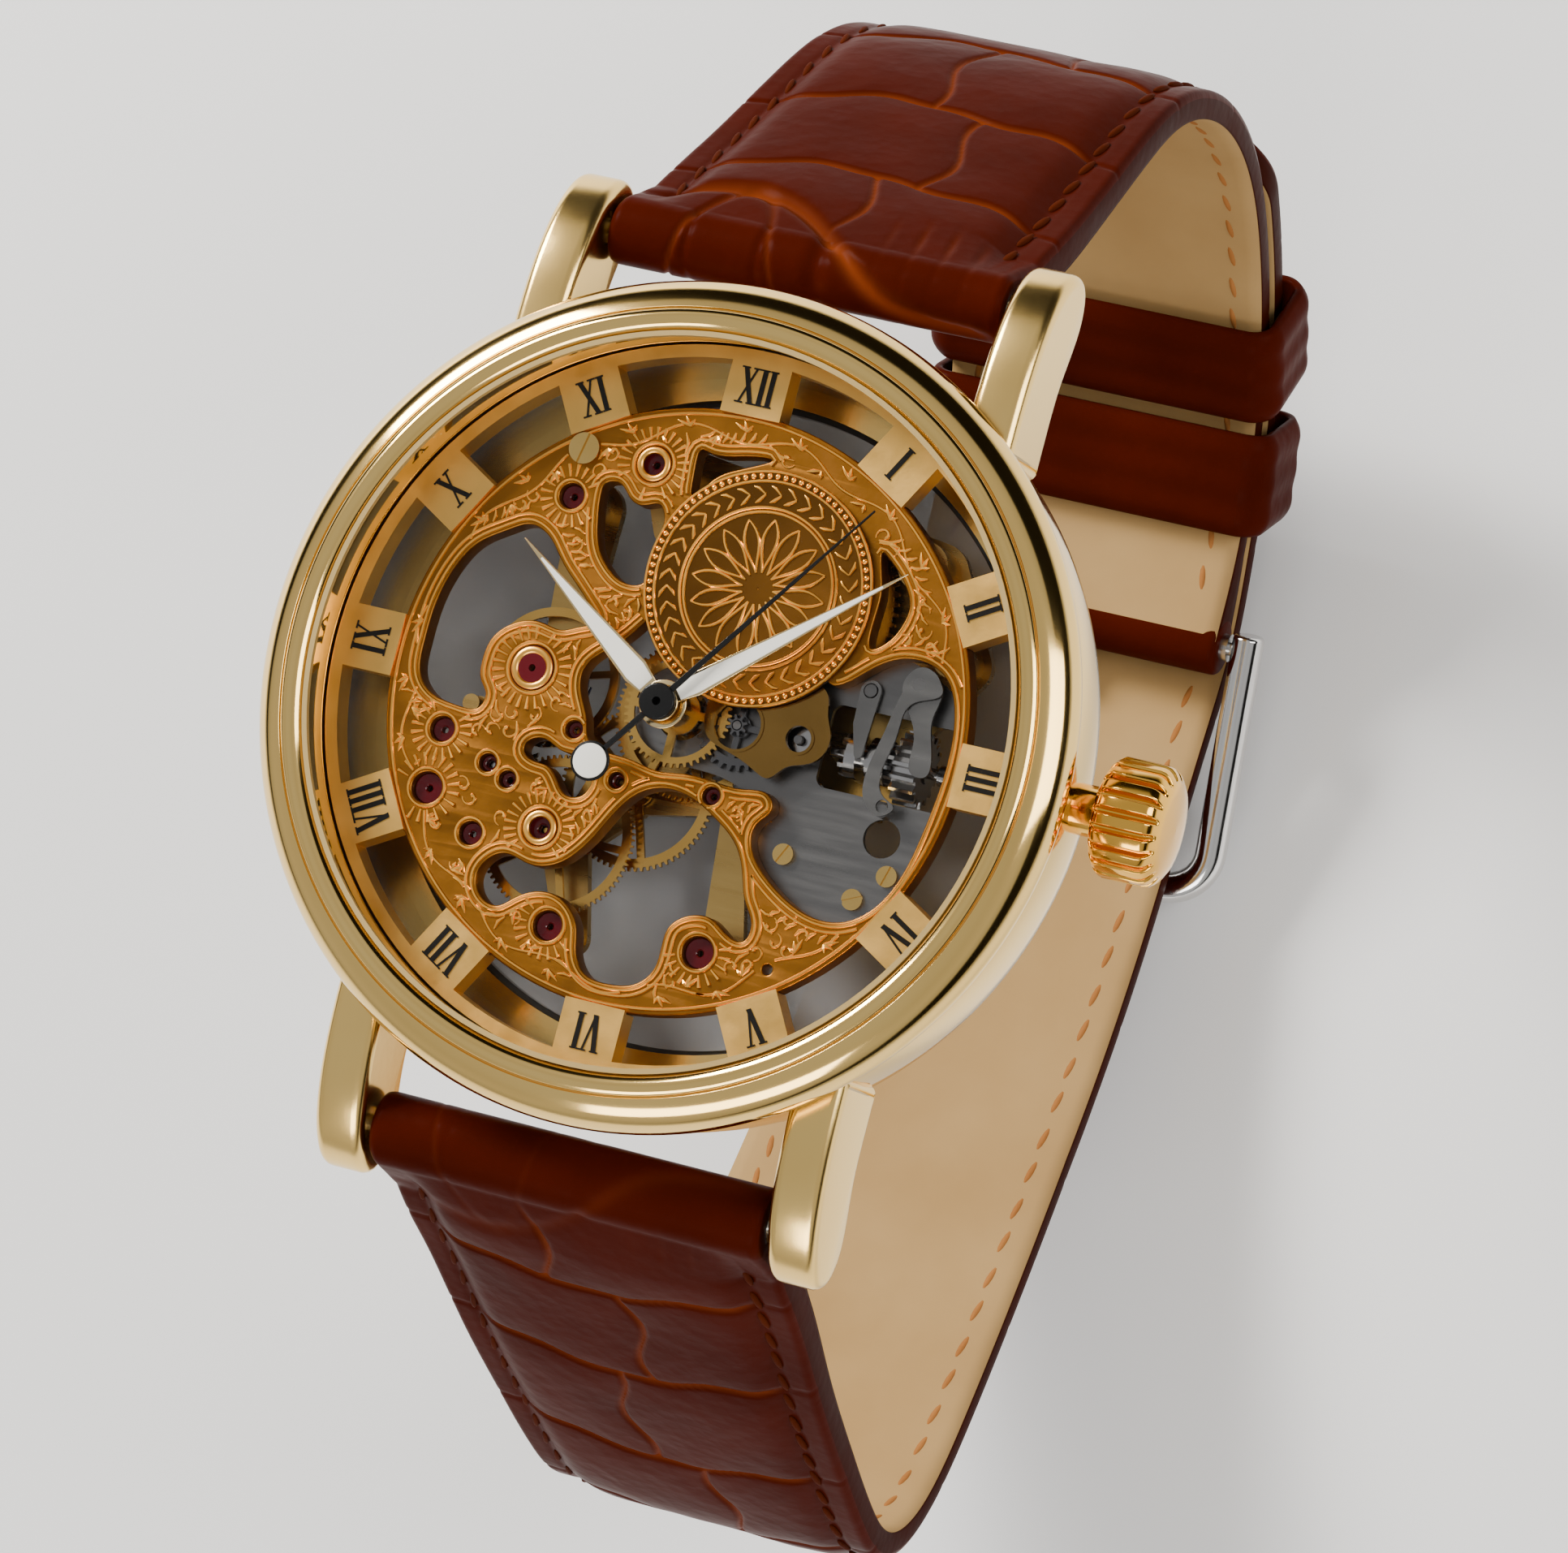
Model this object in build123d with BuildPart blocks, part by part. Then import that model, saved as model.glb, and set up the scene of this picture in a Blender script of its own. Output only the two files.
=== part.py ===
"""Skeleton wristwatch: gold case, hand-wound openworked movement, leather strap closed in a loop.

Frame: millimetres, origin at the centre of the case back's flat outer face, +Z out of the dial,
+X through the crown (3 o'clock), +Y towards 12 o'clock. The strap loop hangs below the case.
"""
from build123d import *
from math import atan2, cos, degrees, hypot, radians, sin
import os

os.makedirs("parts", exist_ok=True)

# ---------------------------------------------------------------- driving dimensions: case
bezel_radius = 20.0
case_radius = 19.4
bore_radius = 17.35
case_back_height = 0.7
case_top = 6.9
bezel_top = 9.5
glass_bottom = 9.15
glass_dome_top = 10.25
back_window_radius = 15.6
lug_gap = 20.6
lug_width = 2.5
lug_tip_y = 24.4
spring_bar_y = 22.0
spring_bar_z = 3.1
spring_bar_radius = 0.75

# ---------------------------------------------------------------- driving dimensions: movement
plate_bottom = 5.1
plate_top = 6.3
dial_top = 6.6
plate_radius = 14.3
hour_ring_inner = 16.65
hour_ring_outer = 17.25
hour_block_width = 3.0
under_plate_bottom = 4.8
bridge_bottom = 2.2
bridge_top = 2.75
ratchet_level = 1.75
wheel_thickness = 0.2
running_gap = 0.05
pivot_radius = 0.12
pivot_start = 2.3
pivot_end = 5.4

third_level = 2.9
centre_level = 3.25
fourth_level = 3.6
escape_level = 3.95
barrel_bottom = 3.6
barrel_top = 4.7

centre = (0.0, 0.0)
barrel_centre = (2.55, 6.35)
fourth_centre = (-5.0, -6.8)
escape_centre = (-8.35, -4.4)
balance_centre = (-7.4, 0.4)
minute_wheel_centre = (3.0, 0.0)
crown_wheel_centre = (8.6, 0.4)
stem_z = 3.9

# Tooth counts: going train 3600 s per turn of the centre wheel down to 60 s at the seconds pinion.
barrel_teeth = 76
centre_pinion_teeth = 12
centre_wheel_teeth = 80
third_pinion_teeth = 10
third_wheel_teeth = 75
seconds_pinion_teeth = 10
fourth_wheel_teeth = 80
escape_pinion_teeth = 8
escape_teeth = 15
cannon_teeth = 14
minute_wheel_teeth = 28
minute_pinion_teeth = 8
hour_wheel_teeth = 48
setting_wheel_teeth = 15
ratchet_teeth = 54
crown_wheel_teeth = 30
winding_pinion_teeth = 17

# Hands, seen from the front, in degrees clockwise from 12 o'clock.
hour_angle = 305.0
minute_angle = 50.5
seconds_angle = 36.2
hour_hand_z = 7.95
minute_hand_z = 8.35
seconds_hand_z = 8.72
hand_thickness = 0.14

# ---------------------------------------------------------------- driving dimensions: strap
strap_half_width_lug = 10.0
strap_half_width_buckle = 8.7
buckle_pin = (14.5, -50.2)
buckle_bar = (1.5, -53.9)
buckle_half_width = 10.9


# ---------------------------------------------------------------- helpers
def polar(radius, angle, about=(0.0, 0.0)):
    """Point at a radius and a counter-clockwise angle in degrees about a centre."""
    return (about[0] + radius * cos(radians(angle)), about[1] + radius * sin(radians(angle)))


def direction(start, end):
    """Angle in degrees of the line from start to end."""
    return degrees(atan2(end[1] - start[1], end[0] - start[0]))


def distance(start, end):
    return hypot(end[0] - start[0], end[1] - start[1])


def level(centre_point, z):
    """Horizontal work plane at height z, with its origin on an arbor."""
    return Plane(origin=(centre_point[0], centre_point[1], z))


def meshed_phase(phase, teeth, next_teeth, start, end):
    """Phase of the next wheel so that its gaps meet the teeth of a wheel whose phase is known."""
    line = direction(start, end)
    return line + 180 - (phase - line) * teeth / next_teeth + 180 / next_teeth


def tooth_outline(teeth, pitch_radius, phase):
    """Corner points of a toothed edge with slim straight-sided teeth."""
    module = 2 * pitch_radius / teeth
    root = pitch_radius - 1.05 * module
    tip = pitch_radius + 0.8 * module
    pitch = 360 / teeth
    points = []
    for tooth in range(teeth):
        middle = phase + tooth * pitch
        points.append(polar(root, middle - 0.29 * pitch))
        points.append(polar(tip, middle - 0.13 * pitch))
        points.append(polar(tip, middle + 0.13 * pitch))
        points.append(polar(root, middle + 0.29 * pitch))
    return points


def toothed_face(plane, teeth, pitch_radius, phase, bore=0.0, rim=0.0, arms=0, arm_width=0.4, hub=0.6):
    """A toothed disc, or with arms a toothed rim on spokes, with an optional bore."""
    module = 2 * pitch_radius / teeth
    rim_inner = pitch_radius - 1.05 * module - rim
    with BuildSketch(plane) as face:
        with BuildLine():
            Polyline(*tooth_outline(teeth, pitch_radius, phase), close=True)
        make_face()
        if arms:
            Circle(rim_inner, mode=Mode.SUBTRACT)
            with PolarLocations(rim_inner / 2, arms, start_angle=phase):
                Rectangle(rim_inner + 0.1, arm_width)
            Circle(hub)
        if bore:
            Circle(bore, mode=Mode.SUBTRACT)
    return face.sketch


def ring_face(plane, outer, inner=0.0):
    with BuildSketch(plane) as face:
        Circle(outer)
        if inner:
            Circle(inner, mode=Mode.SUBTRACT)
    return face.sketch


def loop_face(plane, points):
    """A face inside one smooth closed curve through the points."""
    with BuildSketch(plane) as face:
        with BuildLine():
            Spline(*points, periodic=True)
        make_face()
    return face.sketch


def hull_face(plane, circles):
    """The stretched outline round a set of (x, y, radius) circles."""
    with BuildSketch(plane) as face:
        for x, y, radius in circles:
            with Locations((x, y)):
                Circle(radius)
        make_hull()
    return face.sketch


# ---------------------------------------------------------------- gear train layout
third_reach = 4.28
half_way = (fourth_centre[0] / 2, fourth_centre[1] / 2)
side_step = (third_reach**2 - (distance(centre, fourth_centre) / 2) ** 2) ** 0.5
across = direction(centre, fourth_centre) + 90
third_centre = polar(side_step, across, half_way)


def pitch_radii(reach, teeth, next_teeth):
    """Pitch radii of two meshed wheels a given distance apart."""
    total = teeth + next_teeth
    return reach * teeth / total, reach * next_teeth / total


centre_radius, third_pinion_radius = pitch_radii(third_reach, centre_wheel_teeth, third_pinion_teeth)
third_radius, seconds_pinion_radius = pitch_radii(third_reach, third_wheel_teeth, seconds_pinion_teeth)
fourth_reach = distance(fourth_centre, escape_centre)
fourth_radius, escape_pinion_radius = pitch_radii(fourth_reach, fourth_wheel_teeth, escape_pinion_teeth)
barrel_reach = distance(barrel_centre, centre)
barrel_radius, centre_pinion_radius = pitch_radii(barrel_reach, barrel_teeth, centre_pinion_teeth)
minute_reach = distance(centre, minute_wheel_centre)
cannon_radius, minute_radius = pitch_radii(minute_reach, cannon_teeth, minute_wheel_teeth)
minute_pinion_radius, hour_radius = pitch_radii(minute_reach, minute_pinion_teeth, hour_wheel_teeth)
motion_module = 2 * minute_radius / minute_wheel_teeth
setting_radius = motion_module * setting_wheel_teeth / 2
setting_centre = (minute_wheel_centre[0] + minute_radius + setting_radius, 0.0)
winding_reach = distance(barrel_centre, crown_wheel_centre)
ratchet_radius, crown_wheel_radius = pitch_radii(winding_reach, ratchet_teeth, crown_wheel_teeth)

centre_phase = 0.0
third_pinion_phase = meshed_phase(
    centre_phase, centre_wheel_teeth, third_pinion_teeth, centre, third_centre
)
third_phase = 0.0
seconds_pinion_phase = meshed_phase(
    third_phase, third_wheel_teeth, seconds_pinion_teeth, third_centre, centre
)
fourth_pinion_phase = meshed_phase(
    third_phase, third_wheel_teeth, seconds_pinion_teeth, third_centre, fourth_centre
)
fourth_phase = 0.0
escape_pinion_phase = meshed_phase(
    fourth_phase, fourth_wheel_teeth, escape_pinion_teeth, fourth_centre, escape_centre
)
barrel_phase = 0.0
centre_pinion_phase = meshed_phase(
    barrel_phase, barrel_teeth, centre_pinion_teeth, barrel_centre, centre
)
minute_phase = 0.0
cannon_phase = meshed_phase(
    minute_phase, minute_wheel_teeth, cannon_teeth, minute_wheel_centre, centre
)
setting_phase = meshed_phase(
    minute_phase, minute_wheel_teeth, setting_wheel_teeth, minute_wheel_centre, setting_centre
)
hour_phase = 0.0
minute_pinion_phase = meshed_phase(
    hour_phase, hour_wheel_teeth, minute_pinion_teeth, centre, minute_wheel_centre
)
ratchet_phase = 0.0
crown_wheel_phase = meshed_phase(
    ratchet_phase, ratchet_teeth, crown_wheel_teeth, barrel_centre, crown_wheel_centre
)

# Posts of the bridges, screwed to the front plate: (x, y, radius).
barrel_posts = [(-4.1, 11.0, 1.2), (9.6, 9.2, 1.2), (12.1, 5.3, 0.9)]
train_posts = [(-11.0, -6.2, 1.0), (-3.4, -11.3, 0.7), (4.1, -10.7, 1.0), (2.8, -3.45, 0.45)]
cock_post = (-7.7, 8.7, 1.0)

# ================================================================ case
with BuildPart() as lug:
    with BuildSketch(Plane.YZ.offset(lug_gap / 2)):
        with BuildLine():
            Polyline(
                (14.4, 1.5), (19.0, 1.4), (22.2, 0.5), (23.6, 0.8), (lug_tip_y, 2.2),
                (24.1, 3.6), (22.6, 5.0), (19.6, 6.2), (14.4, 6.6), close=True,
            )
        make_face()
    extrude(amount=3.8)
    with BuildSketch(Plane.XY):
        with BuildLine():
            Polyline(
                (lug_gap / 2, 13.9), (14.1, 13.9), (lug_gap / 2 + lug_width, lug_tip_y + 1),
                (lug_gap / 2, lug_tip_y + 1), close=True,
            )
        make_face()
    extrude(amount=8, mode=Mode.INTERSECT)
    long_edges = lug.edges().filter_by(lambda edge: edge.center().Y > 19.3)
    fillet(long_edges.filter_by(Axis.X), 0.45)
    outer_face = lug.faces().sort_by(Axis.X)[-1]
    fillet(outer_face.edges().filter_by(lambda edge: edge.center().Y > 15.0), 0.5)
    with Locations(Plane(origin=(lug_gap / 2, spring_bar_y, spring_bar_z), z_dir=(-1, 0, 0))):
        Hole(0.45, depth=1.2)

with BuildPart() as case_middle:
    with BuildSketch(Plane.XZ):
        with BuildLine():
            Polyline(
                (bore_radius, case_back_height), (18.5, case_back_height), (19.1, 1.5),
                (case_radius, 2.6), (case_radius, case_top - 0.5), (19.0, case_top),
                (bore_radius, case_top), close=True,
            )
        make_face()
    revolve(axis=Axis.Z)
    add(lug.part)
    add(lug.part.mirror(Plane.YZ))
    add(lug.part.mirror(Plane.XZ))
    add(lug.part.mirror(Plane.XZ).mirror(Plane.YZ))
    with Locations(Plane(origin=(bezel_radius, 0, stem_z), z_dir=(1, 0, 0))):
        Hole(1.2, depth=4)
case_middle.part.label = "case_middle"
export_step(case_middle.part, "parts/case_middle.step")

with BuildPart() as bezel:
    with BuildSketch(Plane.XZ):
        with BuildLine():
            Polyline((bore_radius, bezel_top - 0.25), (bore_radius, case_top), (19.55, case_top))
            Spline(
                (19.55, case_top), (bezel_radius, 7.95), (19.45, 8.95), (18.55, bezel_top),
                tangents=((0.5, 1.0), (-1.0, 0.25)),
            )
            Polyline((18.55, bezel_top), (18.45, bezel_top - 0.14), (18.3, bezel_top + 0.02))
            Spline(
                (18.3, bezel_top + 0.02), (17.85, bezel_top + 0.1), (bore_radius, bezel_top - 0.25),
                tangents=((-0.6, 0.8), (-0.1, -1.0)),
            )
        make_face()
    revolve(axis=Axis.Z)
bezel.part.label = "bezel"
export_step(bezel.part, "parts/bezel.step")

with BuildPart() as crystal_gasket:
    extrude(ring_face(Plane.XY.offset(glass_bottom - 0.05), bore_radius, 17.1), amount=0.3)
crystal_gasket.part.label = "crystal_gasket"
export_step(crystal_gasket.part, "parts/crystal_gasket.step")

with BuildPart() as crystal:
    with BuildSketch(Plane.XZ):
        with BuildLine():
            Line((0, glass_bottom), (17.1, glass_bottom))
            Line((17.1, glass_bottom), (17.1, glass_bottom + 0.25))
            Line((17.1, glass_bottom + 0.25), (16.9, glass_bottom + 0.4))
            Spline(
                (16.9, glass_bottom + 0.4), (8.5, glass_dome_top - 0.18), (0, glass_dome_top),
                tangents=((-1.0, 0.08), (-1.0, 0.0)),
            )
            Line((0, glass_dome_top), (0, glass_bottom))
        make_face()
    revolve(axis=Axis.Z)
crystal.part.label = "crystal"
export_step(crystal.part, "parts/crystal.step")

with BuildPart() as case_back:
    extrude(ring_face(Plane.XY, 18.3, back_window_radius), amount=case_back_height)
    extrude(ring_face(Plane.XY.offset(case_back_height), bore_radius - 0.05, back_window_radius), amount=0.7)
    rim = case_back.edges().filter_by(GeomType.CIRCLE).group_by(Axis.Z)[0].sort_by(SortBy.LENGTH)[-1]
    chamfer(rim, 0.3)
    with BuildSketch(Plane.XY):
        with PolarLocations(17.2, 6):
            SlotOverall(2.4, 0.9, rotation=90)
    extrude(amount=0.3, mode=Mode.SUBTRACT)
case_back.part.label = "case_back"
export_step(case_back.part, "parts/case_back.step")

with BuildPart() as case_back_gasket:
    extrude(ring_face(Plane.XY.offset(0.2), back_window_radius, 15.35), amount=0.6)
case_back_gasket.part.label = "case_back_gasket"
export_step(case_back_gasket.part, "parts/case_back_gasket.step")

with BuildPart() as case_back_glass:
    extrude(ring_face(Plane.XY, 15.35), amount=0.9)
case_back_glass.part.label = "case_back_glass"
export_step(case_back_glass.part, "parts/case_back_glass.step")

with BuildPart() as movement_ring:
    extrude(ring_face(Plane.XY.offset(1.4), bore_radius - 0.05, hour_ring_inner), amount=3.8)
    with Locations(Plane(origin=(bore_radius, 0, stem_z), z_dir=(1, 0, 0))):
        Hole(0.75, depth=3)
movement_ring.part.label = "movement_ring"
export_step(movement_ring.part, "parts/movement_ring.step")

# ================================================================ crown and winding
crown_inner_x = 20.75
crown_outer_x = 24.2
crown_radius = 2.85
tube_end_x = 22.2

with BuildPart() as crown_tube:
    tube_plane = Plane(origin=(bore_radius, 0, stem_z), z_dir=(1, 0, 0))
    extrude(ring_face(tube_plane, 1.2, 0.6), amount=tube_end_x - bore_radius)
crown_tube.part.label = "crown_tube"
export_step(crown_tube.part, "parts/crown_tube.step")

with BuildPart() as crown:
    with BuildSketch(Plane(origin=(crown_inner_x, 0, stem_z), z_dir=(1, 0, 0))):
        Circle(crown_radius)
        with PolarLocations(crown_radius + 0.05, 20):
            Circle(0.22, mode=Mode.SUBTRACT)
    extrude(amount=crown_outer_x - 0.6 - crown_inner_x)
    with BuildSketch(Plane(origin=(crown_outer_x - 0.6, 0, stem_z), z_dir=(1, 0, 0))):
        Circle(crown_radius - 0.25)
    extrude(amount=0.6, taper=42)
    with Locations(Plane(origin=(crown_inner_x, 0, stem_z), z_dir=(-1, 0, 0))):
        Hole(1.75, depth=1.7)
crown.part.label = "crown"
export_step(crown.part, "parts/crown.step")

with BuildPart() as crown_gasket:
    extrude(ring_face(Plane(origin=(21.1, 0, stem_z), z_dir=(1, 0, 0)), 1.75, 1.25), amount=0.5)
crown_gasket.part.label = "crown_gasket"
export_step(crown_gasket.part, "parts/crown_gasket.step")

# The stem steps down from the tube to the pinion seat, the clutch square and the pilot.
stem_steps = [(7.2, 0.25, 0.8), (8.0, 0.38, 2.5), (10.5, 0.5, 1.5), (12.0, 0.28, 0.6), (12.6, 0.5, 9.85)]
with BuildPart() as winding_stem:
    for x, radius, length in stem_steps:
        extrude(ring_face(Plane(origin=(x, 0, stem_z), z_dir=(1, 0, 0)), radius), amount=length)
winding_stem.part.label = "winding_stem"
export_step(winding_stem.part, "parts/winding_stem.step")

pinion_start_x = 10.7
pinion_length = 1.2
with BuildPart() as winding_pinion:
    pinion_plane = Plane(origin=(pinion_start_x, 0, stem_z), z_dir=(1, 0, 0))
    extrude(toothed_face(pinion_plane, winding_pinion_teeth, 1.6, 0, bore=0.55), amount=pinion_length)
    with BuildSketch(Plane(origin=(pinion_start_x, 0, stem_z), z_dir=(-1, 0, 0))):
        with PolarLocations(0.8, 12):
            Rectangle(0.34, 0.18)
    extrude(amount=0.12)
winding_pinion.part.label = "winding_pinion"
export_step(winding_pinion.part, "parts/winding_pinion.step")

clutch_radius = 1.08
with BuildPart() as sliding_clutch:
    for x, radius, length in [(8.15, clutch_radius, 0.55), (8.7, 0.62, 0.5), (9.2, clutch_radius, 0.9)]:
        extrude(ring_face(Plane(origin=(x, 0, stem_z), z_dir=(1, 0, 0)), radius, 0.43), amount=length)
    with BuildSketch(Plane(origin=(10.1, 0, stem_z), z_dir=(1, 0, 0))):
        with PolarLocations(0.8, 12, start_angle=15):
            Rectangle(0.34, 0.18)
    extrude(amount=0.4)
    with BuildSketch(Plane(origin=(8.15, 0, stem_z), z_dir=(-1, 0, 0))):
        with PolarLocations(0.88, 10):
            Rectangle(0.3, 0.22)
    extrude(amount=0.3)
sliding_clutch.part.label = "sliding_clutch"
export_step(sliding_clutch.part, "parts/sliding_clutch.step")

lever_pivot = (11.2, 3.7)
lever_level = 5.75
with BuildPart() as setting_lever:
    extrude(
        loop_face(
            Plane.XY.offset(lever_level),
            [(11.9, 4.3), (10.8, 4.4), (10.4, 3.6), (10.9, 2.5), (11.6, 1.0), (11.9, -0.4),
             (12.5, -0.4), (12.6, 0.6), (12.2, 2.4)],
        ),
        amount=0.2,
    )
    extrude(ring_face(level((12.28, 0.0), lever_level - 1.5), 0.2), amount=1.6)
    with Locations((lever_pivot[0], lever_pivot[1], lever_level)):
        Hole(0.38)
setting_lever.part.label = "setting_lever"
export_step(setting_lever.part, "parts/setting_lever.step")

yoke_pivot = (8.8, 3.0)
yoke_level = 5.25
with BuildPart() as yoke:
    extrude(
        hull_face(
            Plane.XY.offset(yoke_level), [(*yoke_pivot, 0.5), (8.65, 1.4, 0.3), (8.95, 0.0, 0.2)]
        ),
        amount=0.2,
    )
    extrude(ring_face(level((8.95, 0.0), 4.62), 0.15), amount=0.7)
    with Locations((yoke_pivot[0], yoke_pivot[1], yoke_level)):
        Hole(0.36)
yoke.part.label = "yoke"
export_step(yoke.part, "parts/yoke.step")

spring_level = 6.02
with BuildPart() as setting_lever_spring:
    extrude(
        loop_face(
            Plane.XY.offset(spring_level),
            [(12.3, 3.9), (11.4, 4.45), (10.7, 3.6), (10.2, 1.4), (9.8, -0.8), (10.1, -2.2),
             (11.0, -2.6), (11.5, -2.1), (10.9, -1.7), (10.5, -0.9), (10.8, 1.2), (11.3, 2.9)],
        ),
        amount=0.14,
    )
    with Locations((lever_pivot[0], lever_pivot[1], spring_level), (10.95, -2.15, spring_level)):
        Hole(0.3)
setting_lever_spring.part.label = "setting_lever_spring"
export_step(setting_lever_spring.part, "parts/setting_lever_spring.step")

# ================================================================ front plate and dial furniture
medallion_radius = 5.6
crescent = [
    (-9.0, 6.95), (-8.2, 6.55), (-7.3, 5.55), (-6.3, 4.65), (-5.4, 3.85), (-4.9, 3.2), (-5.6, 2.8),
    (-6.5, 2.45), (-7.6, 2.6), (-8.9, 2.25), (-9.75, 1.35), (-9.95, 0.3), (-9.75, -0.7),
    (-9.35, -1.3), (-9.5, -1.95), (-10.6, -2.1), (-11.9, -1.85), (-12.75, -1.1), (-13.0, 0.4),
    (-12.95, 2.2), (-12.5, 4.1), (-11.6, 5.6), (-10.3, 6.5),
]
teardrop = [
    (-6.0, 9.75), (-5.3, 9.65), (-4.85, 9.2), (-4.1, 9.0), (-3.35, 9.2), (-2.95, 8.7), (-3.15, 7.0),
    (-3.2, 5.4), (-3.9, 5.25), (-4.9, 5.7), (-5.7, 6.6), (-6.1, 7.8), (-6.3, 9.1),
]
right_crescent = [
    (8.05, 9.25), (8.7, 8.75), (9.45, 7.95), (9.85, 7.1), (9.7, 6.1), (9.15, 5.2), (8.55, 4.85),
    (8.35, 5.7), (8.4, 6.9), (8.25, 8.0),
]
top_sliver = [
    (-1.8, 12.15), (-0.6, 12.1), (0.6, 12.35), (1.5, 12.35), (0.9, 12.0), (-0.1, 11.55),
    (-1.1, 10.85), (-1.85, 9.95), (-2.05, 11.0),
]
bottom_window = [
    (-2.0, -6.1), (-2.8, -7.4), (-3.8, -8.3), (-5.2, -8.55), (-6.4, -8.35), (-7.2, -8.9),
    (-7.45, -9.7), (-6.9, -10.6), (-6.1, -10.8), (-5.4, -10.3), (-4.6, -9.8), (-3.5, -9.65),
    (-2.5, -10.15), (-1.95, -11.0), (-1.7, -12.0), (-1.0, -12.9), (0.3, -13.1), (1.6, -12.75),
    (2.2, -12.0), (2.3, -10.9), (2.4, -9.9), (3.2, -9.15), (4.4, -9.05), (5.3, -9.6), (6.1, -9.7),
    (6.3, -9.0), (5.7, -7.9), (5.2, -6.6), (4.5, -5.4), (3.3, -4.5), (2.0, -3.85), (0.6, -3.65),
    (-0.6, -4.1), (-1.4, -5.0),
]
keyhole = [
    (-6.5, -2.85), (-5.7, -2.75), (-5.0, -3.05), (-4.2, -3.1), (-3.4, -3.4), (-3.1, -4.2),
    (-3.5, -4.95), (-4.2, -5.0), (-4.8, -4.4), (-5.4, -3.9), (-6.2, -3.8), (-6.75, -3.4),
]
centre_window = [
    (-4.9, 0.4), (-4.7, 1.3), (-3.9, 2.1), (-3.1, 2.9), (-2.5, 3.7), (-1.9, 4.3), (-1.15, 4.45),
    (-0.45, 3.7), (0.6, 2.85), (2.1, 2.35), (3.8, 2.5), (5.3, 3.3), (6.2, 3.45), (7.1, 2.8),
    (8.1, 3.25), (9.0, 4.05), (10.2, 4.7), (11.4, 4.75), (12.5, 4.2), (13.2, 2.9), (13.5, 1.2),
    (13.45, -1.0), (13.2, -3.0), (12.8, -4.9), (12.0, -6.6), (10.8, -7.65), (9.3, -7.9),
    (7.7, -7.4), (6.3, -6.5), (5.35, -5.4), (5.3, -4.3), (5.85, -3.4), (5.6, -2.9), (4.2, -2.85),
    (2.6, -2.8), (1.2, -2.8), (-0.1, -2.95), (-1.6, -2.7), (-3.0, -2.6), (-3.8, -2.2),
    (-4.15, -1.3),
]
plate_windows = [
    crescent, teardrop, right_crescent, top_sliver, bottom_window, keyhole, centre_window,
]
# Jewel seats and screw holes in the front plate: (x, y, radius).
jewel_seats = [
    (*balance_centre, 1.05), (*fourth_centre, 0.85), (*third_centre, 0.38), (*escape_centre, 0.42),
    (-4.1, 11.0, 0.85), (*barrel_centre, 0.9),
]
plate_holes = [
    (-7.7, 8.7, 0.6), (-4.6, -1.95, 0.42), (-11.0, -3.35, 0.6), (-7.2, -4.95, 0.4),
    (-11.0, -6.2, 0.75), (-8.3, -7.8, 0.55), (-3.4, -11.15, 0.7), (2.8, -3.5, 0.42),
    (4.1, -10.7, 0.75), (7.6, -10.7, 0.25), (-7.6, 11.0, 0.45),
]

with BuildPart() as front_plate:
    extrude(ring_face(Plane.XY.offset(plate_bottom), plate_radius), amount=plate_top - plate_bottom)
    for window in plate_windows:
        cut = loop_face(Plane.XY.offset(plate_bottom - 0.1), window)
        extrude(cut, amount=plate_top - plate_bottom + 0.2, mode=Mode.SUBTRACT)
    for x, y, radius in jewel_seats + plate_holes:
        cut = ring_face(level((x, y), plate_bottom - 0.1), radius)
        extrude(cut, amount=plate_top - plate_bottom + 0.2, mode=Mode.SUBTRACT)
front_plate.part.label = "front_plate"
export_step(front_plate.part, "parts/front_plate.step")

block_overlap = 14.12
with BuildPart() as chapter_ring:
    extrude(ring_face(Plane.XY.offset(5.2), hour_ring_outer, hour_ring_inner), amount=dial_top - 5.2)
    with BuildSketch(Plane.XY.offset(5.2)):
        with PolarLocations((plate_radius + 16.9) / 2, 12):
            Rectangle(16.9 - plate_radius + 0.4, hour_block_width)
        Circle(plate_radius + running_gap, mode=Mode.SUBTRACT)
        Circle(17.0, mode=Mode.INTERSECT)
    extrude(amount=dial_top - 5.2)
    with BuildSketch(Plane.XY.offset(plate_top)):
        with PolarLocations((block_overlap + 16.8) / 2, 12):
            Rectangle(16.8 - block_overlap, hour_block_width)
    extrude(amount=dial_top - plate_top)
chapter_ring.part.label = "chapter_ring"
export_step(chapter_ring.part, "parts/chapter_ring.step")

# Roman numerals, printed on the blocks with their feet towards the centre.
numeral_height = 1.75
glyph_advance = {"I": 0.44, "V": 0.98, "X": 0.98}
numeral_names = ["XII", "I", "II", "III", "IV", "V", "VI", "VII", "VIII", "IX", "X", "XI"]


def slanted_stroke(foot_x, head_x, width):
    """Four corners of a stroke from the foot line to the head line."""
    half = width / 2
    return [
        (foot_x - half, 0), (foot_x + half, 0),
        (head_x + half, numeral_height), (head_x - half, numeral_height),
    ]


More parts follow.
